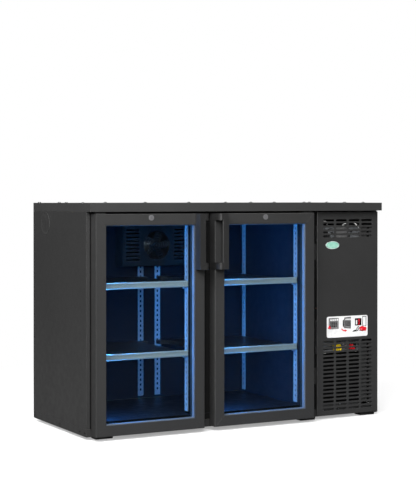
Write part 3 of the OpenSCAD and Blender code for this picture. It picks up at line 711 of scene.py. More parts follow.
def fin_tree():
    """A stack of thin fins along X: the carrier's one point is the first fin's middle."""
    sizes = [(label, "Float") for label in ("Pitch", "Thickness", "Depth", "Height")]
    group, start, finish = node_group("fin_stack", [("Count", "Int"), *sizes, ("Finish", "Material")])
    add, link = group.nodes.new, group.links.new
    line = add("GeometryNodeMeshLine")
    step = add("ShaderNodeCombineXYZ")
    link(start.outputs["Pitch"], step.inputs["X"])
    link(start.outputs["Count"], line.inputs["Count"])
    link(step.outputs[0], line.inputs["Offset"])
    fin = add("GeometryNodeMeshCube")
    size = add("ShaderNodeCombineXYZ")
    for label, axis in (("Thickness", "X"), ("Depth", "Y"), ("Height", "Z")):
        link(start.outputs[label], size.inputs[axis])
    link(size.outputs[0], fin.inputs["Size"])
    rows = add("GeometryNodeInstanceOnPoints")
    link(line.outputs[0], rows.inputs["Points"])
    link(fin.outputs["Mesh"], rows.inputs["Instance"])
    stacks = add("GeometryNodeInstanceOnPoints")
    link(start.outputs["Geometry"], stacks.inputs["Points"])
    link(rows.outputs[0], stacks.inputs["Instance"])
    close_tree(group, start, finish, stacks.outputs[0])
    return group


FASTENERS = fastener_tree()
FINS = fin_tree()


def grown(group, spots, values, facings=None):
    """Runs a tree on a carrier that has a point at each spot, and returns the plain mesh."""
    mesh = bpy.data.meshes.new("carrier")
    mesh.from_pydata([tuple(p) for p in spots], [], [])
    if facings:
        layer = mesh.attributes.new("facing", "FLOAT_VECTOR", "POINT")
        layer.data.foreach_set("vector", [c for f in facings for c in f])
    carrier = placed("carrier", mesh)
    build = carrier.modifiers.new("build", "NODES")
    build.node_group = group
    for item in group.interface.items_tree:
        if item.item_type == "SOCKET" and item.in_out == "INPUT" and item.name in values:
            build[item.identifier] = values[item.name]
    return plain_mesh(carrier)


def screw_head(radius, height):
    """A domed head with a cross recess, standing on the ground plane, as a pattern object."""
    w = Work("dark_screws")
    dome = ((1, 0), (1, 0.35), (0.93, 0.68), (0.78, 0.92))
    w.turn([(radius * r, height * h) for r, h in dome], (0, 0, 0), UP, 20)
    arm, half = radius * 0.52, radius * 0.13
    cross = [(half, half), (half, arm), (-half, arm), (-half, half), (-arm, half), (-arm, -half),
             (-half, -half), (-half, -arm), (half, -arm), (half, -half), (arm, -half), (arm, half)]
    rim = oval(0, 0, radius * 0.66, radius * 0.66, 20)
    tiles = tessellate_polygon([[Vector((*p, 0)) for p in rim], [Vector((*p, 0)) for p in cross]])
    outer = w.ring((u, v, height) for u, v in rim)
    inner = w.ring((u, v, height) for u, v in cross)
    floor = w.ring((u * 0.8, v * 0.8, height - height * 0.5) for u, v in cross)
    for tri in tiles:
        w.face([(outer + inner)[i] for i in tri])
    w.bridge(inner, floor)
    w.face(floor)
    w.face(w.ring((u / 0.66, v / 0.66, 0) for u, v in rim))
    bm = w.bm
    skirt = w.ring((u / 0.66 * 0.78, v / 0.66 * 0.78, height * 0.92) for u, v in rim)
    w.bridge(skirt, outer)
    bmesh.ops.remove_doubles(bm, verts=bm.verts, dist=0.02)
    bmesh.ops.recalc_face_normals(bm, faces=bm.faces)
    for v in bm.verts:
        v.co *= MM
    for f in bm.faces:
        f.smooth = True
    mesh = bpy.data.meshes.new("head")
    bm.to_mesh(mesh)
    bm.free()
    mesh.set_sharp_from_angle(angle=math.radians(40))
    return placed("head_pattern", mesh)


def fasten(name, spots, facings, body, node, seed, radius=4.0, height=2.0):
    """A screw head at each spot, all of them one piece."""
    head = screw_head(radius, height)
    values = {"Head": head, "Seed": seed, "Finish": finish_of("dark_screws")}
    mesh = grown(FASTENERS, [at(*p) for p in spots], values, facings)
    bpy.data.objects.remove(head)
    settle(name, mesh, body, [node])


# ------------------------------------------------------------------ cabinet shell

def cabinet_shell():
    for node, width, cuts in (
            ("worktop", 0.55, 3), ("base_frame", 0.5, 2), ("left_side_panel", 0.5, 3),
            ("right_side_panel", 0.5, 3), ("back_panel", 0.35, 2), ("bulkhead_panel", 0.3, 2),
            ("feet", 1.4, 3), ("face_frame", 0.5, 2), ("insulation", 1.0, 2), ("hinge_brackets", 0.35, 2)):
        eased(node, width, cuts)
    low, high = span("knockout_plug")
    centre = (low + high) / 2
    r = (high.y - low.y) / 2
    t = high.x - low.x
    Work("plug_plastic").turn([(0, 0), (r, 0), (r, t - 0.5), (r - 0.5, t), (r - 3.2, t), (r - 4, t - 0.6),
                               (r - 8, t - 0.75), (0, t - 0.45)],
                              (high.x, centre.y, centre.z), (-1, 0, 0), 72, wear_and_highlight=(2, 3)).piece(
        "knockout_plug_disc", "cabinet", "knockout_plug")


def slotted_back():
    low, high = span("machine_back_cover")
    inlet_low, inlet_high = span("power_inlet")
    middle = (inlet_low + inlet_high) / 2
    slots = [stadium(low.x + 72 + 75 * col, first + 3.5 + 18 * row, 60, 7)
             for col in range(3) for row in range(12) for first in (90, 470)]
    hole = rounded(middle.x - 15.5, middle.z - 12.5, middle.x + 15.5, middle.z + 12.5, 1.5)
    Work("black_shell").plate([border(low, high)] + slots + [hole], high.y - low.y, start=low.y).piece(
        "machine_back_cover_slotted", "cabinet", "machine_back_cover")


def screws():
    top = span("worktop_screws")[0].z
    right, deep, edge = BODY_WIDE, BODY_DEEP, 14
    spots = [(x, deep - edge, top) for x in (104, 304, 484, 686, 863, 986, 1104, 1257)]
    spots += [(edge, y, top) for y in (63, 219, 491)] + [(right - edge, y, top) for y in (73, 207, 340, 476)]
    washers = Work("bright_zinc")
    for spot in spots:
        washers.turn([(0, 0), (7, 0), (7, 0.7), (6.6, 1.0), (0, 1.0)], spot, UP, 24, wear_and_highlight=(2,))
    washers.piece("worktop_washers", "cabinet", slot="dark_screws")
    fasten("worktop_screw_heads", [(x, y, z + 1) for x, y, z in spots], [UP] * len(spots), "cabinet",
           "worktop_screws", 5, 5.6, 1.95)
    spots, facings = [], []
    for z in (120, 320, 560, 760):
        spots += [(0, deep - 9, z), (right, deep - 9, z)]
        facings += [(-1, 0, 0), (1, 0, 0)]
        for x in (10, 300, 640, 955, 975, right - 10):
            spots.append((x, deep, z))
            facings.append(BACK)
    for y in (14, 60, 250, deep - 14):
        spots += [(0, y, 14), (right, y, 14)]
        facings += [(-1, 0, 0), (1, 0, 0)]
    fasten("cabinet_screw_heads", spots, facings, "cabinet", "cabinet_screws", 11)


# ------------------------------------------------------------------ compartment

def bay_pieces(make):
    """Calls make with a function that places the left bay's sizes in each bay."""
    low, high = span("left_door_frame")
    right = span("right_door_frame")[1].x
    mirror = low.x + right
    make("left", lambda x: x)
    make("right", lambda x: mirror - x)


def shelves():
    def one(side, across):
        for level in ("lower", "upper"):
            node = f"shelf_{side}_{level}"
            low, high = span(node)
            near, far = (low.x, high.x) if side == "left" else (high.x, low.x)
            edge = near + (357 if side == "left" else -357)     # only its rear strip is full width
            top = high.z
            plan = [(near, low.y), (edge, low.y), (edge, high.y - 40), (far, high.y - 40), (far, high.y),
                    (near, high.y)]
            slots = [stadium(min(near, edge) + 30 + 33 * c, low.y + 52 + 26 * r, 20, 6, 4)
                     for c in range(10) for r in range(14)]
            place = lambda u, v, w: (u, v, top - w)
            work = Work("shelf_sheet").plate([inset(turned(plan), 1.5)] + slots, 1.2, place, 0, 0.2)
            work.sweep(plan, [(1.5, 0), (0.44, 0.44), (0, 1.5), (0, 14.6), (0.4, 15), (1.1, 15), (1.5, 14.6),
                              (1.5, 1.3)], place, wear_and_highlight=(0, 1, 3, 5))
            work.piece(node + "_plate", "cabinet", node)
    bay_pieces(one)


def rails():
    low, high = span("shelf_rails")
    tall = 23.5
    work = Work("rail_aluminium")

    def along_x(u, v, w):
        return (w, u, v)

    def ridge(z0, z1, crest, root, steps=6):
        mid, half = (z0 + z1) / 2, (z1 - z0) / 2
        return [(root + (crest - root) * math.cos(PI / 2 * s), mid + half * s)
                for s in (-1 + 2 * i / steps for i in range(steps + 1))]

    def one(side, across):
        for top in (high.z, low.z + tall):
            z = top - tall
            front = [(2.6, z), *ridge(z + 0.5, z + 8.4, 0.8, 2.0),
                     *ridge(z + tall - 8.4, z + tall - 0.5, 0.8, 2.0), (2.6, z + tall)]
            section = [(4, z), (4, z + tall)] + front[::-1]
            x0, x1 = sorted((across(64.2), across(416.8)))
            work.use("rail_aluminium").plate([section], x1 - x0, along_x, x0, 0.25)
            for a, b in ((60, 64.4), (416.6, 421)):
                c, d = sorted((across(a), across(b)))
                work.use("black_sleeve").brick((c, 0.9, z + 0.2), (d, 4.0, z + tall - 0.2), 1.2, 3)
    bay_pieces(one)
    work.piece("shelf_front_rails", "cabinet", "shelf_rails")


def lamps():
    low, high = span("led_strips")
    work = Work("led_lens", "bright_zinc")
    for x in (low.x, high.x - 4.7):
        y0, y1 = low.y, high.y
        section = [(x + 1.2, y0 + 1.0), (x + 3.6, y0 + 1.0), (x + 4.5, y0 + 2.6), (x + 4.7, (y0 + y1) / 2),
                   (x + 4.5, y1 - 2.6), (x + 3.6, y1 - 1.0), (x + 1.2, y1 - 1.0)]
        work.use("led_lens").plate([section], high.z - low.z - 12, lying, low.z + 6, 0.2)
        work.use("bright_zinc")
        work.brick((x, y0, low.z), (x + 1.1, y1, high.z), 0.2)
        work.brick((x, y0, low.z), (x + 3.2, y0 + 0.9, high.z), 0.2)
        work.brick((x, y1 - 0.9, low.z), (x + 3.2, y1, high.z), 0.2)
        work.use("black_sleeve")
        for z in (low.z, high.z - 6):
            work.brick((x, y0, z), (x + 4.7, y1, z + 6), 0.6)
    work.piece("blue_lamps", "cabinet", "led_strips")


def coil(name, node, fin_count, rows, finish, end_finish):
    """Fins on a serpentine tube, between two end plates."""
    low, high = span(node)
    stub = 12
    x0, x1 = low.x + stub, high.x - stub
    depth, height = high.y - low.y, high.z - low.z
    pitch = (x1 - x0 - 6) / (fin_count - 1)
    middle = ((low.y + high.y) / 2, (low.z + high.z) / 2)
    fins = grown(FINS, [at(x0 + 3, *middle)], {
        "Count": fin_count, "Pitch": pitch * MM, "Thickness": 0.25 * MM, "Depth": (depth - 2) * MM,
        "Height": (height - 2) * MM, "Finish": finish_of(finish)})
    settle(name + "_fins", fins, "cabinet", [])
    work = Work(end_finish)
    for x in (x0, x1 - 1.2):
        work.brick((x, low.y, low.z), (x + 1.2, high.y, high.z), 0.4)
    work.use("copper")
    y = middle[0]
    left, right = (x0 - 2, -1), (x1 + 2, 1)
    for z in rows:
        work.tube([(left[0], y, z), (right[0], y, z)], 4.6, 16, 1, caps=False)
    for i, (a, b) in enumerate(zip(rows, rows[1:])):
        side, way = left if i % 2 else right
        bend = [(side + way * 9.0 * math.sin(t) ** 0.8, y, (a + b) / 2 - (b - a) / 2 * math.cos(t))
                for t in (PI * k / 10 for k in range(1, 10))]
        work.tube([(side, y, a), *bend, (side, y, b)], 4.6, 16, 1, caps=False)
    for (x, way), z in ((left, rows[0]), (right if len(rows) % 2 else left, rows[-1])):
        work.tube([(x, y, z), (x + way * 9, y, z)], 4.6, 16, 1)
    work.piece(name + "_tubes", "cabinet", node, slot="coil_fins")


def impeller(name, node, centre, hub_r, tip_r, y0, y1, blades, chord, pitch, finish, hub_finish):
    """A pressed fan rotor about +Y: curved, twisted blades on a domed hub."""
    work = Work(finish)
    span_r, across, thick = 9, 8, 0.9
    mid = (y0 + y1) / 2
    room = (y1 - y0) / 2 - 0.6
    for b in range(blades):
        base = 2 * PI * b / blades
        sheets = []
        for face in (-0.5, 0.5):
            grid = []
            for i in range(span_r + 1):
                s = i / span_r
                r = hub_r - 1.5 + (tip_r - hub_r + 1.5) * s
                swell = 0.72 + 0.5 * math.sin(PI * min(1, s * 0.62 + 0.12))
                wide = chord * swell * (1 - 0.38 * max(0, s - 0.82) / 0.18)
                lean = math.radians(pitch * (1.25 - 0.45 * s))
                row = []
                for j in range(across + 1):
                    t = j / across - 0.5
                    along = wide * t
                    sweep = 0.16 * s * s * tip_r
                    height = math.sin(lean) * along * 0.9 + 3.2 * (0.25 - t * t)
                    height = max(-room, min(room, height))
                    angle = base + (math.cos(lean) * along + sweep) / max(r, 10)
                    row.append((centre[0] + r * math.cos(angle), mid + height + face * thick,
                                centre[1] + r * math.sin(angle)))
                grid.append(work.ring(row))
            sheets.append(grid)
        for grid in sheets:
            for one, two in zip(grid, grid[1:]):
                work.bridge(one, two, closed=False)
        rims = [[g[i][0] for i in range(span_r)] + g[-1][:-1] + [g[i][-1] for i in range(span_r, 0, -1)]
                + g[0][:0:-1] for g in sheets]
        work.bridge(*rims, 1.0)
    work.use(hub_finish)
    deep = y1 - y0
    hub = [(4, 0), (hub_r * 0.55, 0), (hub_r * 0.86, 1.2), (hub_r * 0.98, 3.4), (hub_r, 5),
           (hub_r, deep - 0.6), (hub_r - 0.6, deep), (4, deep)]
    work.turn(hub, (centre[0], y0, centre[1]), BACK, 48, wear_and_highlight=(2, 5))
    work.piece(name, body_of(node), node)


def guard_wires(work, centre, y, radii, wire, spokes, reach):
    for r in radii:
        circle = [(centre[0] + r * math.cos(a), y, centre[1] + r * math.sin(a))
                  for a in (2 * PI * i / 40 for i in range(41))]
        work.tube(circle, wire, 8, 1, caps=False)
    for k in range(spokes):
        a = 2 * PI * k / spokes + PI / 4
        work.tube([(centre[0] + q * math.cos(a), y, centre[1] + q * math.sin(a)) for q in (radii[0], reach)],
                  wire, 8, 1)


def evaporator():
    low, high = span("evaporator_cover")
    centre = ((low.x + high.x) / 2, 676)
    outline = rounded(low.x, low.z, high.x, high.z, 0.6, 1)
    slots = [stadium(centre[0] + side * 108, low.z + 27 + 15 * row, 60, 6, 5)
             for side in (-1, 1) for row in range(9)]
    work = Work("cover_sheet").plate([inset(turned(outline), 1.6), oval(*centre, 58, 58, 64)] + slots, 1.2,
                                     start=low.y)
    work.sweep(outline, [(1.6, low.y), (0.5, low.y + 0.5), (0, low.y + 1.6), (0, high.y), (1.2, high.y),
                         (1.2, low.y + 1.2)], wear_and_highlight=(0, 1))
    work.use("bright_zinc")
    guard_wires(work, centre, low.y + 1.6, (12, 22, 32, 42, 52, 57), 0.7, 4, 57.5)
    work.piece("evaporator_cover_sheet", "cabinet", "evaporator_cover")
    coil("evaporator", "evaporator_coil", 62, (630, 680, 730), "coil_fins", "galvanised_sheet")
    work = Work("fan_motor_metal")
    work.turn([(0, 412), (8, 412), (17, 412.6), (20, 414.5), (20, 421), (18.5, 424), (10, 425), (0, 425)],
              (centre[0], 0, centre[1]), BACK, 40, wear_and_highlight=(2, 4))
    work.use("bright_zinc").turn([(0, 400.2), (2.6, 400.2), (3, 400.6), (3, 412.4), (0, 412.4)],
                                 (centre[0], 0, centre[1]), BACK, 24)
    for k in range(4):
        c, s = math.cos(PI / 4 + PI / 2 * k), math.sin(PI / 4 + PI / 2 * k)

        def arm(u, v, w):
            return (centre[0] + u * c - v * s, w, centre[1] + u * s + v * c)
        work.plate([rounded(15, -2, 65, 2, 1.9, 4)], 2, arm, 420, 0.3)
    work.piece("evaporator_motor", "cabinet", "evaporator_fan_motor")
    impeller("evaporator_rotor", "evaporator_fan_blade", centre, 14, 54, 399, 409, 5, 24, 26, "fan_plastic",
             "fan_plastic")


def compartment():
    eased("shelf_standards", 0.3)
    eased("shelf_clips", 0.7)
    frame["nodes"]["liner"].data.materials.clear()
    frame["nodes"]["liner"].data.materials.append(finish_of("liner_sheet"))
    shelves()
    rails()
    lamps()
    evaporator()


# ------------------------------------------------------------------ machine compartment

def condenser():
    coil("condenser", "condenser_coil", 96, (38, 81, 124, 167, 210), "dark_fins", "dark_fins")
    low, high = span("fan_shroud")
    centre = ((low.x + high.x) / 2, 124)
    outline = rounded(low.x, low.z, high.x, high.z, 3)
    work = Work("shroud_sheet").plate([outline, oval(*centre, 99, 99, 72)], 2, start=low.y)
    lip = [(97, 3), (97, 22), (98.4, 25.4), (100, 26), (101.2, 24.6), (100, 22), (99.2, 2), (101, 0.4),
           (98.5, 0.4)]
    work.turn(lip, (centre[0], low.y, centre[1]), BACK, 96, wear_and_highlight=(1, 2, 3))
    work.piece("shroud", "cabinet", "fan_shroud")
    impeller("condenser_rotor", "condenser_fan_blade", centre, 26, 92, 84, 106, 5, 52, 27, "fan_blade_metal",
             "bright_zinc")
    work = Work("fan_motor_metal")
    can = [(0, 134), (14, 134), (16, 136), (30, 137.5), (36, 141), (38, 146), (38, 158), (36.8, 159),
           (36.8, 161), (38, 162), (38, 174), (35, 179), (14, 182), (0, 182)]
    shaft = [(0, 106.6), (3.4, 106.6), (4, 107.2), (4, 135), (0, 135)]      # it starts behind the rotor's hub
    work.turn(can, (centre[0], 0, centre[1]), BACK, 56, wear_and_highlight=(3, 4, 6, 8))
    work.use("bright_zinc").turn(shaft, (centre[0], 0, centre[1]), BACK, 24)
    work.use("shroud_sheet")
    for side in (-1, 1):
        a, b = sorted((centre[0] + side * 50 - 18, centre[0] + side * 50 + 18))
        work.brick((a, 156, 1.8), (b, 160, 62), 0.8)
        c, d = sorted((centre[0] + side * 50 - side * 18, centre[0] + side * 24))
        work.brick((min(c, d) - 8, 156, 56), (max(c, d) + 8, 160, 110), 0.8)
    work.piece("condenser_motor", "cabinet", "condenser_fan_motor")


def compressor():
    x, y = 1118, 338
    work = Work("compressor_paint")
    shell = [(0, 20), (50, 20), (63, 22), (71, 28), (74.5, 36), (76, 48), (76, 93), (77.2, 94), (77.2, 99),
             (76, 100), (76, 112), (74.6, 124), (71, 138), (64, 150), (52, 160), (38, 166.5), (22, 170.5),
             (0, 172)]
    work.turn(shell, (x, y, 0), UP, 80, wear_and_highlight=(6, 8))
    base = rounded(x - 95, y - 60, x + 95, y + 60, 14)
    holes = [oval(x + a, y + b, 7, 7, 20) for a in (-80, 80) for b in (-45, 45)]
    work.plate([base] + holes, 3, lying, 20)
    work.use("black_sleeve").brick((x + 66, y - 26, 70), (x + 102, y + 26, 128), 5, 4)
    work.use("bright_zinc").brick((x + 101.5, y - 3, 66), (x + 103, y + 3, 132), 0.5)
    work.use("copper")
    for dx, r in ((30, 5.2), (-30, 7.4)):
        work.turn([(r, 0), (r, 3), (r - 1, 4), (0, 4)], (x + dx, y - 20, 164), UP, 24)
    work.piece("compressor_shell", "cabinet", "compressor")
    work = Work("mount_rubber")
    grommet = [(0, 1.5), (13, 1.5), (13, 5), (10, 7), (9.4, 11), (12, 14), (13, 16), (13, 19.6), (5, 19.8),
               (0, 19.8)]
    for a in (-80, 80):
        for b in (-45, 45):
            work.turn(grommet, (x + a, y + b, 0), UP, 32)
    work.piece("compressor_feet", "cabinet", "compressor_mounts")


def pipework():
    low, high = span("filter_drier")
    x, y = (low.x + high.x) / 2, (low.y + high.y) / 2
    can = [(0, 140), (3.8, 140), (4.6, 143), (9, 148), (12, 152), (12, 178), (11.2, 179), (11.2, 181),
           (12, 182), (12, 248), (9, 252), (4.6, 257), (3.8, 260), (0, 260)]
    Work("copper").turn(can, (x, y, 0), UP, 40, wear_and_highlight=(3, 9)).piece("drier", "cabinet", "filter_drier")
    port, run, end, coil_end = (318, 168), 183, 966.0, 1263.15
    lines = [
        (4, [(1148, *port), (1148, 318, run), (1216, 270, run), (1216, 124, run + 6), (coil_end, 108, 194),
             (coil_end, 66, 202), (coil_end, 56, 208)]),
        (4, [(coil_end, 54, 40), (coil_end, 130, 40), (1236, 250, 100), (1236, 250, 139)]),
        (6, [(1088, *port), (1088, 318, run), (996, 318, run + 3), (996, 300, 230), (990, 300, 520),
             (982, 345, 640), (980, 345, 660), (end, 345, 660)]),
        (1.5, [(1236, 250, 261), (1236, 250, 330), (1010, 300, 560), (984, 368, 670), (end, 368, 680)]),
    ]
    work = Work("copper")
    for radius, points in lines:
        work.tube(cornered(points, 16 + 2 * radius), radius, 14, 1)
        for a, b in ((points[0], points[1]), (points[-1], points[-2])):
            way = (Vector(b) - Vector(a)).normalized()
            work.turn([(radius, 0.2), (radius + 1, 1), (radius + 1.1, 5), (radius, 6)], a, way, 18)
    work.use("black_sleeve").tube(cornered([(993.6, 300, 330), (990.8, 300, 480)], 4), 9.5, 18, 1)
    work.piece("refrigerant_lines", "cabinet", "refrigerant_pipes")


def boxes():
    panel, top = span("service_panel")
    left = panel.x

    def behind(y):
        """How far right a thing at this depth stands, to line up with the same slot."""
        return PARALLAX * (y - panel.y)

    low, high = span("electrical_box")
    front = low.y + 10
    face = left + behind(front)         # a place across the panel, carried back to the box's face
    work = Work("box_plastic")
    work.brick((low.x, front + 6, low.z), (high.x, high.y, high.z), 4, 4)
    work.brick((low.x + 1.5, front, low.z + 8), (high.x - 1.5, front + 6.6, high.z - 1.5), 3, 4)
    # Near-black blocks a hair proud of the box's face: painted shade of its openings.
    work.use("black_hole")
    for x0, x1, proud, z0, z1 in ((34, 76, 0.8, 257, 270), (96, 122, 0.4, 244, 288),
                                  (158, 194, 0.8, 254, 286)):
        work.brick((face + x0, front - proud, z0), (face + x1, front + 1, z1), 1.2, 3)
    disc, plug = low.y - 8, low.y - 6
    dish = [(0, 0.4), (7, 0.2), (8, 0.8), (9, 2.2), (12.6, 2.4), (13.4, 0.6), (15.4, 0.2), (16.6, 1.6),
            (16.6, 19), (0, 19)]
    work.use("yellow_polymer").turn(dish, (left + 105 + behind(disc), disc, 263), BACK, 48, wear_and_highlight=(1, 5, 6))
    work.use("red_polymer")
    for x0, x1, y, z0, z1, ease in ((163, 186, plug, 255, 270, 2.4), (168, 178, plug - 0.5, 266, 276, 2)):
        work.brick((left + behind(plug) + x0, y, z0), (left + behind(plug) + x1, front, z1), ease, 3)
    work.use("white_sleeve")
    for x, z in ((30, 262), (40, 245), (131, 276), (132, 263), (132, 248), (197, 276), (198, 264),
                 (189, 246)):
        work.brick((face + x - 3, front - 4, z - 2.4), (face + x + 4, front + 0.5, z + 2.4), 0.9, 3)
    for finish, radius, wire in (
            ("white_sleeve", 1.6, ((30, 1, 262), (25, 4, 254), (30, 3, 246), (40, 1, 245))),
            ("black_sleeve", 2.0, ((131, 2, 276), (142, 5, 284), (160, 4, 286), (168, 1, 276)))):
        line = [(face + x, front - out, z) for x, out, z in wire]
        work.use(finish).tube(smooth_line(line, 6), radius, 10, 1)
    work.use("bright_zinc")
    button = [(0, -1.6), (2.2, -1.5), (3.2, -0.6), (3.4, 0.6), (0, 0.6)]
    for x, z in ((68, 254), (148, 290), (206, 288), (56, 288)):
        work.turn(button, (left + x, front - 0.2, z), BACK, 20)
    work.piece("electrical_box_parts", "cabinet", "electrical_box")

    low, high = span("control_box")
    row = top.z - TOP_ROW
    front = low.y + 6
    face = left + behind(front)
    work = Work("box_plastic")
    work.brick((low.x, front, low.z), (high.x, high.y, high.z), 3.2, 4)
    work.use("grey_ink")
    work.brick((face + 88, low.y + 1.4, low.z + 10), (face + 142, front + 1, row - 24), 1.6, 3)
    work.use("black_sleeve")
    for i in range(6):
        x = face + 30 + i * 4.2
        work.brick((x, low.y + 2, low.z + 12), (x + 2.2, front + 0.5, high.z - 18), 0.8)
    work.use("bright_zinc")
    stud = [(0, 0), (4.6, 0), (5.2, 0.8), (5.2, 5), (0, 5)]
    for x, z in ((60, 30), (72, 42), (62, 56), (156, 30), (164, 48)):
        work.turn(stud, (face + x, front - 4.4, low.z + z - 10), BACK, 28)
    work.use("white_sleeve")
    for radius, sides, cable in (
            (2.6, 12, ((146, 30, -20), (158, 14, -11), (176, 10, -8), (192, 9, -13), (206, 9, -26),
                       (219, 10, -38), (229, 11, -52), (232, 14, -68), (232, 30, -84))),
            (2.0, 10, ((36, 34, -9), (44, 18, -3), (56, 16, -4), (68, 20, -12), (74, 34, -18)))):
        work.tube(smooth_line([(left + x, y, row + z) for x, y, z in cable], 6), radius, sides, 1)
    work.piece("control_box_parts", "cabinet", "control_box")

    eased("drip_tray", 0.4)
    eased("power_inlet", 0.6)
    low, high = span("power_inlet")
    work = Work("bright_zinc")
    cx, cz = (low.x + high.x) / 2, (low.z + high.z) / 2
    for dx, dz in ((-7, 2), (7, 2), (0, -3.4)):
        x, z = cx + dx, cz + dz
        work.brick((x - 1.1, high.y - 18, z - 2.1), (x + 1.1, high.y - 3, z + 2.1), 0.5)
    work.piece("inlet_pins", "cabinet", slot="inlet_plastic")


# ------------------------------------------------------------------ service panel

def slot_rows():
    low, high = span("service_panel")
    first = low.x + 28 + 26
    return [stadium(first + SLOT_PITCH_X * c, top - SLOT_PITCH_Z * r, SLOT_LENGTH, SLOT_HEIGHT)
            for top, rows in ((high.z - TOP_ROW, 5), (294, 18)) for c in range(4) for r in range(rows)]


def service_panel():
    low, high = span("service_panel")
    front = low.y
    fold = 1.8
    rim = [(fold, front), (fold * 0.45, front + fold * 0.16), (fold * 0.16, front + fold * 0.45),
           (0, front + fold), (0, -3.7), (0.2, -3.5), (1.3, -3.5), (1.5, -3.7), (1.5, front + 1.5)]
    work = Work("panel_paint")
    work.plate([inset(border(low, high), fold)] + slot_rows(), 1.5, start=front, ease=0.4)
    work.sweep(border(low, high), rim, wear_and_highlight=(0, 1, 2))
    y = front + 6                       # the baffles stand close behind the panel's face
    for x0, x1, z0, z1 in ((205, 242, 33, 286), (253, 270, 33, 286), (205, 242, 680, high.z - 58),
                           (253, 270, 680, high.z - 58), (14, 242, 35, 48)):
        work.brick((low.x + x0, y, z0), (low.x + x1, y + 1.2, z1), 0.4)
    for x in (209, 236):
        work.brick((low.x + x, front + 1.4, 292), (low.x + x + 1.2, y + 1, 308), 0.3)
    work.use("bright_zinc")
    for x, z in ((105, 24), (228, 48), (31, 23), (112, 44)):
        work.turn([(0, -1.6), (1.8, -1.5), (2.6, -0.5), (2.6, 1), (0, 1)], (low.x + x, y, z), BACK, 20)
    work.piece("service_panel_sheet", "service_panel", "service_panel")
    eased("panel_hinges", 0.3)
    eased("panel_catches", 0.3)


def badge():
    low, high = span("panel_badge")
    cx, cz = (low.x + high.x) / 2, (low.z + high.z) / 2
    rx, rz = (high.x - low.x) / 2, (high.z - low.z) / 2
    work = Work("rim_metal")

    def egg(r, out):
        return work.ring((cx + (rx - r) * math.cos(a), high.y - out, cz + (rz - r) * math.sin(a))
                         for a in (2 * PI * i / 72 for i in range(72)))
    rim = [egg(0, 0), egg(0, 1.2), egg(0.5, 1.7), egg(1.3, 1.75), egg(1.9, 1.35)]
    for one, two in zip(rim, rim[1:]):
        work.bridge(one, two, 1.0)
    work.face(list(reversed(rim[0])))
    work.use("badge_enamel")
    dome = [rim[-1], egg(3, 1.5), egg(5.5, 1.72), egg(9, 1.88), egg(13, 1.97)]
    for one, two in zip(dome, dome[1:]):
        work.bridge(one, two)
    work.face(dome[-1])
    work.piece("badge", "service_panel", "panel_badge", slot="badge_enamel")


def label():
    """A plain film with three pictograms of opening the panel and cleaning behind it, and no lettering."""
    low, high = span("panel_label")
    back, front = high.y, low.y
    work = Work("label_film")
    work.plate([rounded(low.x, low.z, high.x, high.z, 7, 6)], back - front, start=front, ease=0.12)
    u0, v0 = low.x, low.z
    layer = [0.12]

    def mark(finish, *loops):
        """One printed shape. Each stands a hair in front of the last, so that none share a plane."""
        layer[0] += 0.012
        work.use(finish).plate([[(u0 + u, v0 + v) for u, v in loop] for loop in loops], layer[0] + 0.1,
                               start=front - layer[0], ease=0.03)

    def strips(finish, u, v, wide, tall, n):
        for k in range(n):
            mark(finish, rounded(u + k * wide * 1.35, v, u + k * wide * 1.35 + wide, v + tall, 0.5, 2))

    mark("dark_ink", rounded(8.5, 34, 56.5, 78.5, 1.5, 3), rounded(10.5, 36, 54.5, 76.5, 1, 3))
    mark("grey_ink", rounded(11, 36.5, 54, 76, 1.5, 3))
    strips("label_film", 16, 67.5, 7.5, 5.5, 4)
    strips("dark_ink", 16.5, 42, 6.2, 21, 4)
    for v in (47.5, 53, 58.5):
        mark("grey_ink", rounded(15, v, 50, v + 1.2, 0.3, 2))
    mark("red_ink", [(4, 37), (20.5, 37), (12.5, 51)])
    mark("dark_ink", [(83, 36), (115, 32.5), (115, 80), (83, 78)])
    mark("grey_ink", [(85, 38), (113, 34.8), (113, 77.6), (85, 76)])
    mark("dark_ink", [(76, 43), (82, 39), (82, 70), (76, 67)])
    strips("label_film", 89, 68, 5, 5, 4)
    strips("dark_ink", 88.5, 44, 4.8, 20.5, 4)
    for v in (49, 54.5, 59.5):
        mark("grey_ink", rounded(87, v, 112, v + 1.2, 0.3, 2))
    mark("red_ink", [(68, 33), (76, 25), (87, 23), (87, 20), (97, 26), (87, 31), (87, 28), (78, 29.5),
                     (71, 35)])
    mark("dark_ink", rounded(135, 44, 166, 73, 1.5, 3), rounded(139, 48, 146, 66, 2, 3))
    mark("red_ink", rounded(150.5, 59, 158.5, 70, 2, 3), rounded(153, 61.5, 156, 67.5, 1, 3))
    mark("red_ink", [(151, 47), (155.5, 47), (158, 57.5), (154, 57.5)])
    mark("dark_ink", rounded(171, 40, 190, 80.5, 1.5, 3), rounded(173.5, 42, 187.5, 78, 1, 3))
    mark("dark_ink", [(138, 20), (148, 22), (158, 34), (156, 38), (150, 41), (139, 27), (133, 25)],
         [(140, 23), (146, 24.5), (154.5, 34.5), (151, 37.5), (142, 26)])
    mark("dark_ink", [(122, 19.5), (136, 20), (138, 26), (130, 26)])
    mark("dark_ink", [(155, 23), (172, 19.5), (187, 24.5), (180, 28), (160, 27)])
    mark("red_ink", oval(170, 31, 13, 9, 28), oval(166, 28, 3, 2, 16))
    mark("red_ink", oval(184, 29, 7.5, 8.5, 24))
    work.piece("pictogram_label", "service_panel", "panel_label", slot="label_film")


# ------------------------------------------------------------------ doors

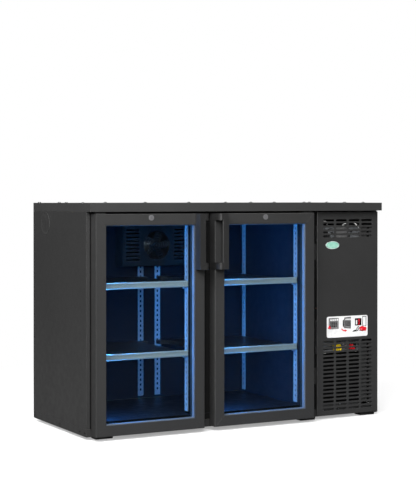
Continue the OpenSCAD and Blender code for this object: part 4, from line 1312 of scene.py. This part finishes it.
def door(side):
    body = side + "_door"
    outline = border(*span(side + "_door_frame"))
    # The frame's eased edges take the door paint's much lighter edge tone, a painted highlight along them.
    eased(side + "_door_frame", 0.7, 3)
    for pane in ("_outer_glass", "_inner_glass"):
        eased(side + pane, 0.35)
    y0, y1 = (v.y for v in span(side + "_glass_spacer"))
    mid = (y0 + y1) / 2
    i = 35.3                            # from the door's edge to the spacer
    bar = [(i, y0 + 1), (i + 1.2, y0), (i + 6.6, y0), (i + 7.7, y0 + 1), (i + 8, y0 + 3),
           (i + 7.6, mid - 1), (i + 8, mid), (i + 7.6, mid + 1), (i + 8, y1 - 3), (i + 7.7, y1 - 1),
           (i + 6.6, y1), (i + 1.2, y1), (i, y1 - 1)]
    sealant = [(i - 0.9, y0 + 0.2), (i - 0.1, y0 + 0.2), (i - 0.1, y1 - 0.2), (i - 0.9, y1 - 0.2)]
    work = Work("spacer_aluminium").sweep(outline, bar, wear_and_highlight=(2, 9))
    work.use("black_sleeve").sweep(outline, sealant)
    work.piece(side + "_spacer_bar", body, side + "_glass_spacer")
    g0, g1 = (v.y for v in span(side + "_gasket"))
    j = 16                              # from the door's edge to the gasket
    lips = [(j, g0), (j + 18, g0), (j + 18, g0 + 1.2), (j + 15.5, g0 + 1.8), (j + 14.2, g0 + 3),
            (j + 15.6, g0 + 4.2), (j + 17, g1 - 1.2), (j + 16.4, g1), (j + 3.2, g1), (j + 1.8, g1 - 1),
            (j + 2.4, g0 + 4.4), (j + 3.8, g0 + 3.2), (j + 2.8, g0 + 2), (j, g0 + 1.2)]
    Work("gasket_rubber").sweep(outline, lips).piece(side + "_seal", body, side + "_gasket")
    eased(side + "_handle", 0.6, 3)
    eased(side + "_lock_housing", 0.3, 3)
    eased(side + "_lock_plug", 0.2)


def wear_free_nodes():
    """Gives every node that still shows its own finish."""
    for name, node in frame["nodes"].items():
        if not node.hide_render and name != "liner":
            node.data.materials.clear()
            node.data.materials.append(finish_of(SLOT_OF[name]))


# ------------------------------------------------------------------ room, light and camera

def ground():
    """A pale floor to the camera, fading to white away from the cabinet, and a dark one to the lamps."""
    drop, sides = -0.0002, 64
    work = bmesh.new()
    centre = work.verts.new((0, 0, drop))
    rings = [[work.verts.new((r * math.cos(a), r * math.sin(a), drop))
              for a in (2 * PI * i / sides for i in range(sides))] for r in (3.0, 9.0, 30.0)]
    for i in range(sides):
        j = (i + 1) % sides
        work.faces.new([centre, rings[0][i], rings[0][j]])
        for one, two in zip(rings, rings[1:]):
            work.faces.new([one[i], two[i], two[j], one[j]])
    mesh = bpy.data.meshes.new("pale_floor")
    work.to_mesh(mesh)
    work.free()
    paint = Finish("pale_floor", Specular_IOR_Level=0.1)
    seen = paint.made("LightPath", "Is Camera Ray")
    paint.colour(paint.lay(seen, grey(0.09), paint.tint(paint.grain(1.5, 2), grey(0.74), grey(0.78))))
    paint.rough(paint.grain(6, 2), 0.7, 0.8)
    far = paint.add("VectorMath", operation="LENGTH")
    paint.link(paint.where, far.inputs[0])
    fade = paint.times(paint.between(far.outputs["Value"], 0.35, 1.0, 0.5, 1.9), seen)
    paint.link(paint.mixed(fade, paint.shader.outputs[0], paint.made("Emission")), paint.out.inputs[0])
    mesh.materials.append(paint.mat)
    placed("pale_floor", mesh)


def surroundings():
    """White to the camera. To other rays a dim room, brighter overhead, with a dark patch to the front."""
    world = bpy.data.worlds.new("studio")
    bpy.context.scene.world = world
    world.use_nodes = True
    room = Nodes(world.node_tree)
    where = room.made("TexCoord", "Generated")
    aim = room.add("VectorMath", operation="DOT_PRODUCT")
    room.link(where, aim.inputs[0])
    room.link(Vector((0.52, -0.85, -0.02)).normalized(), aim.inputs[1])
    dark = room.between(aim.outputs["Value"], 0.3, 0.07, 0.55, 0.93)
    sky = room.between(room.made("SeparateXYZ", "Z", Vector=where), 0.3, 1.6, 0.0, 0.8)
    cast = room.made("Background", Strength=room.times(dark, sky))
    seen = room.made("Background", Color=(1, 1, 1, 1))
    mix = room.mixed(room.made("LightPath", "Is Camera Ray"), cast, seen)
    room.link(mix, room.add("OutputWorld").inputs[0])


def lights():
    def softbox(name, place, target, size, power, shiny=True, colour=(1, 1, 1)):
        data = bpy.data.lights.new(name, "AREA")
        data.shape = "RECTANGLE"
        data.size, data.size_y = size
        data.energy = power
        data.color = colour
        lamp = placed(name, data)
        lamp.location = place
        lamp.rotation_euler = (Vector(target) - Vector(place)).to_track_quat("-Z", "Y").to_euler()
        lamp.visible_glossy = shiny
        lamp.visible_camera = False

    softbox("softbox_top", (-2.7, -2.5, 3.3), (-0.2, -0.2, 0.8), (4.2, 3.0), 600, False)
    softbox("softbox_front", (-2.2, -5.0, 2.1), (0.1, -0.2, 0.6), (2.4, 2.2), 165)
    softbox("softbox_back", (0.4, 4.2, 2.4), (0, 0, 0.5), (3.6, 2.4), 150, False)
    softbox("softbox_right", (4.2, 1.4, 2.2), (0.3, 0, 0.5), (2.6, 2.2), 110)
    low, high = span("led_strips")
    for left in (low.x + 5.6, high.x + 0.9):
        place = at(left, (low.y + high.y) / 2, (low.z + high.z) / 2)
        softbox("strip_glow", place, place + Vector((1, 0.25, 0)), (0.008, 0.66), 15, False,
                (0.06, 0.37, 1.0))


def camera():
    data = bpy.data.cameras.new("camera")
    view = placed("camera", data)
    data.sensor_width = 36
    data.lens = 100.9
    data.shift_x = -0.005
    data.shift_y = -0.069
    data.clip_end = 200
    data.dof.use_dof = False
    view.location = (-2.609, -4.747, 0.8755)
    view.rotation_euler = (PI / 2 - 0.0078, 0, -0.501)
    bpy.context.scene.camera = view
    bpy.context.scene.view_settings.view_transform = "Standard"
    bpy.context.scene.view_settings.look = "None"


# ------------------------------------------------------------------ the whole

cabinet_shell()
slotted_back()
screws()
compartment()
condenser()
compressor()
pipework()
boxes()
service_panel()
badge()
label()
for side in ("left", "right"):
    door(side)
wear_free_nodes()
ground()
surroundings()
lights()
camera()
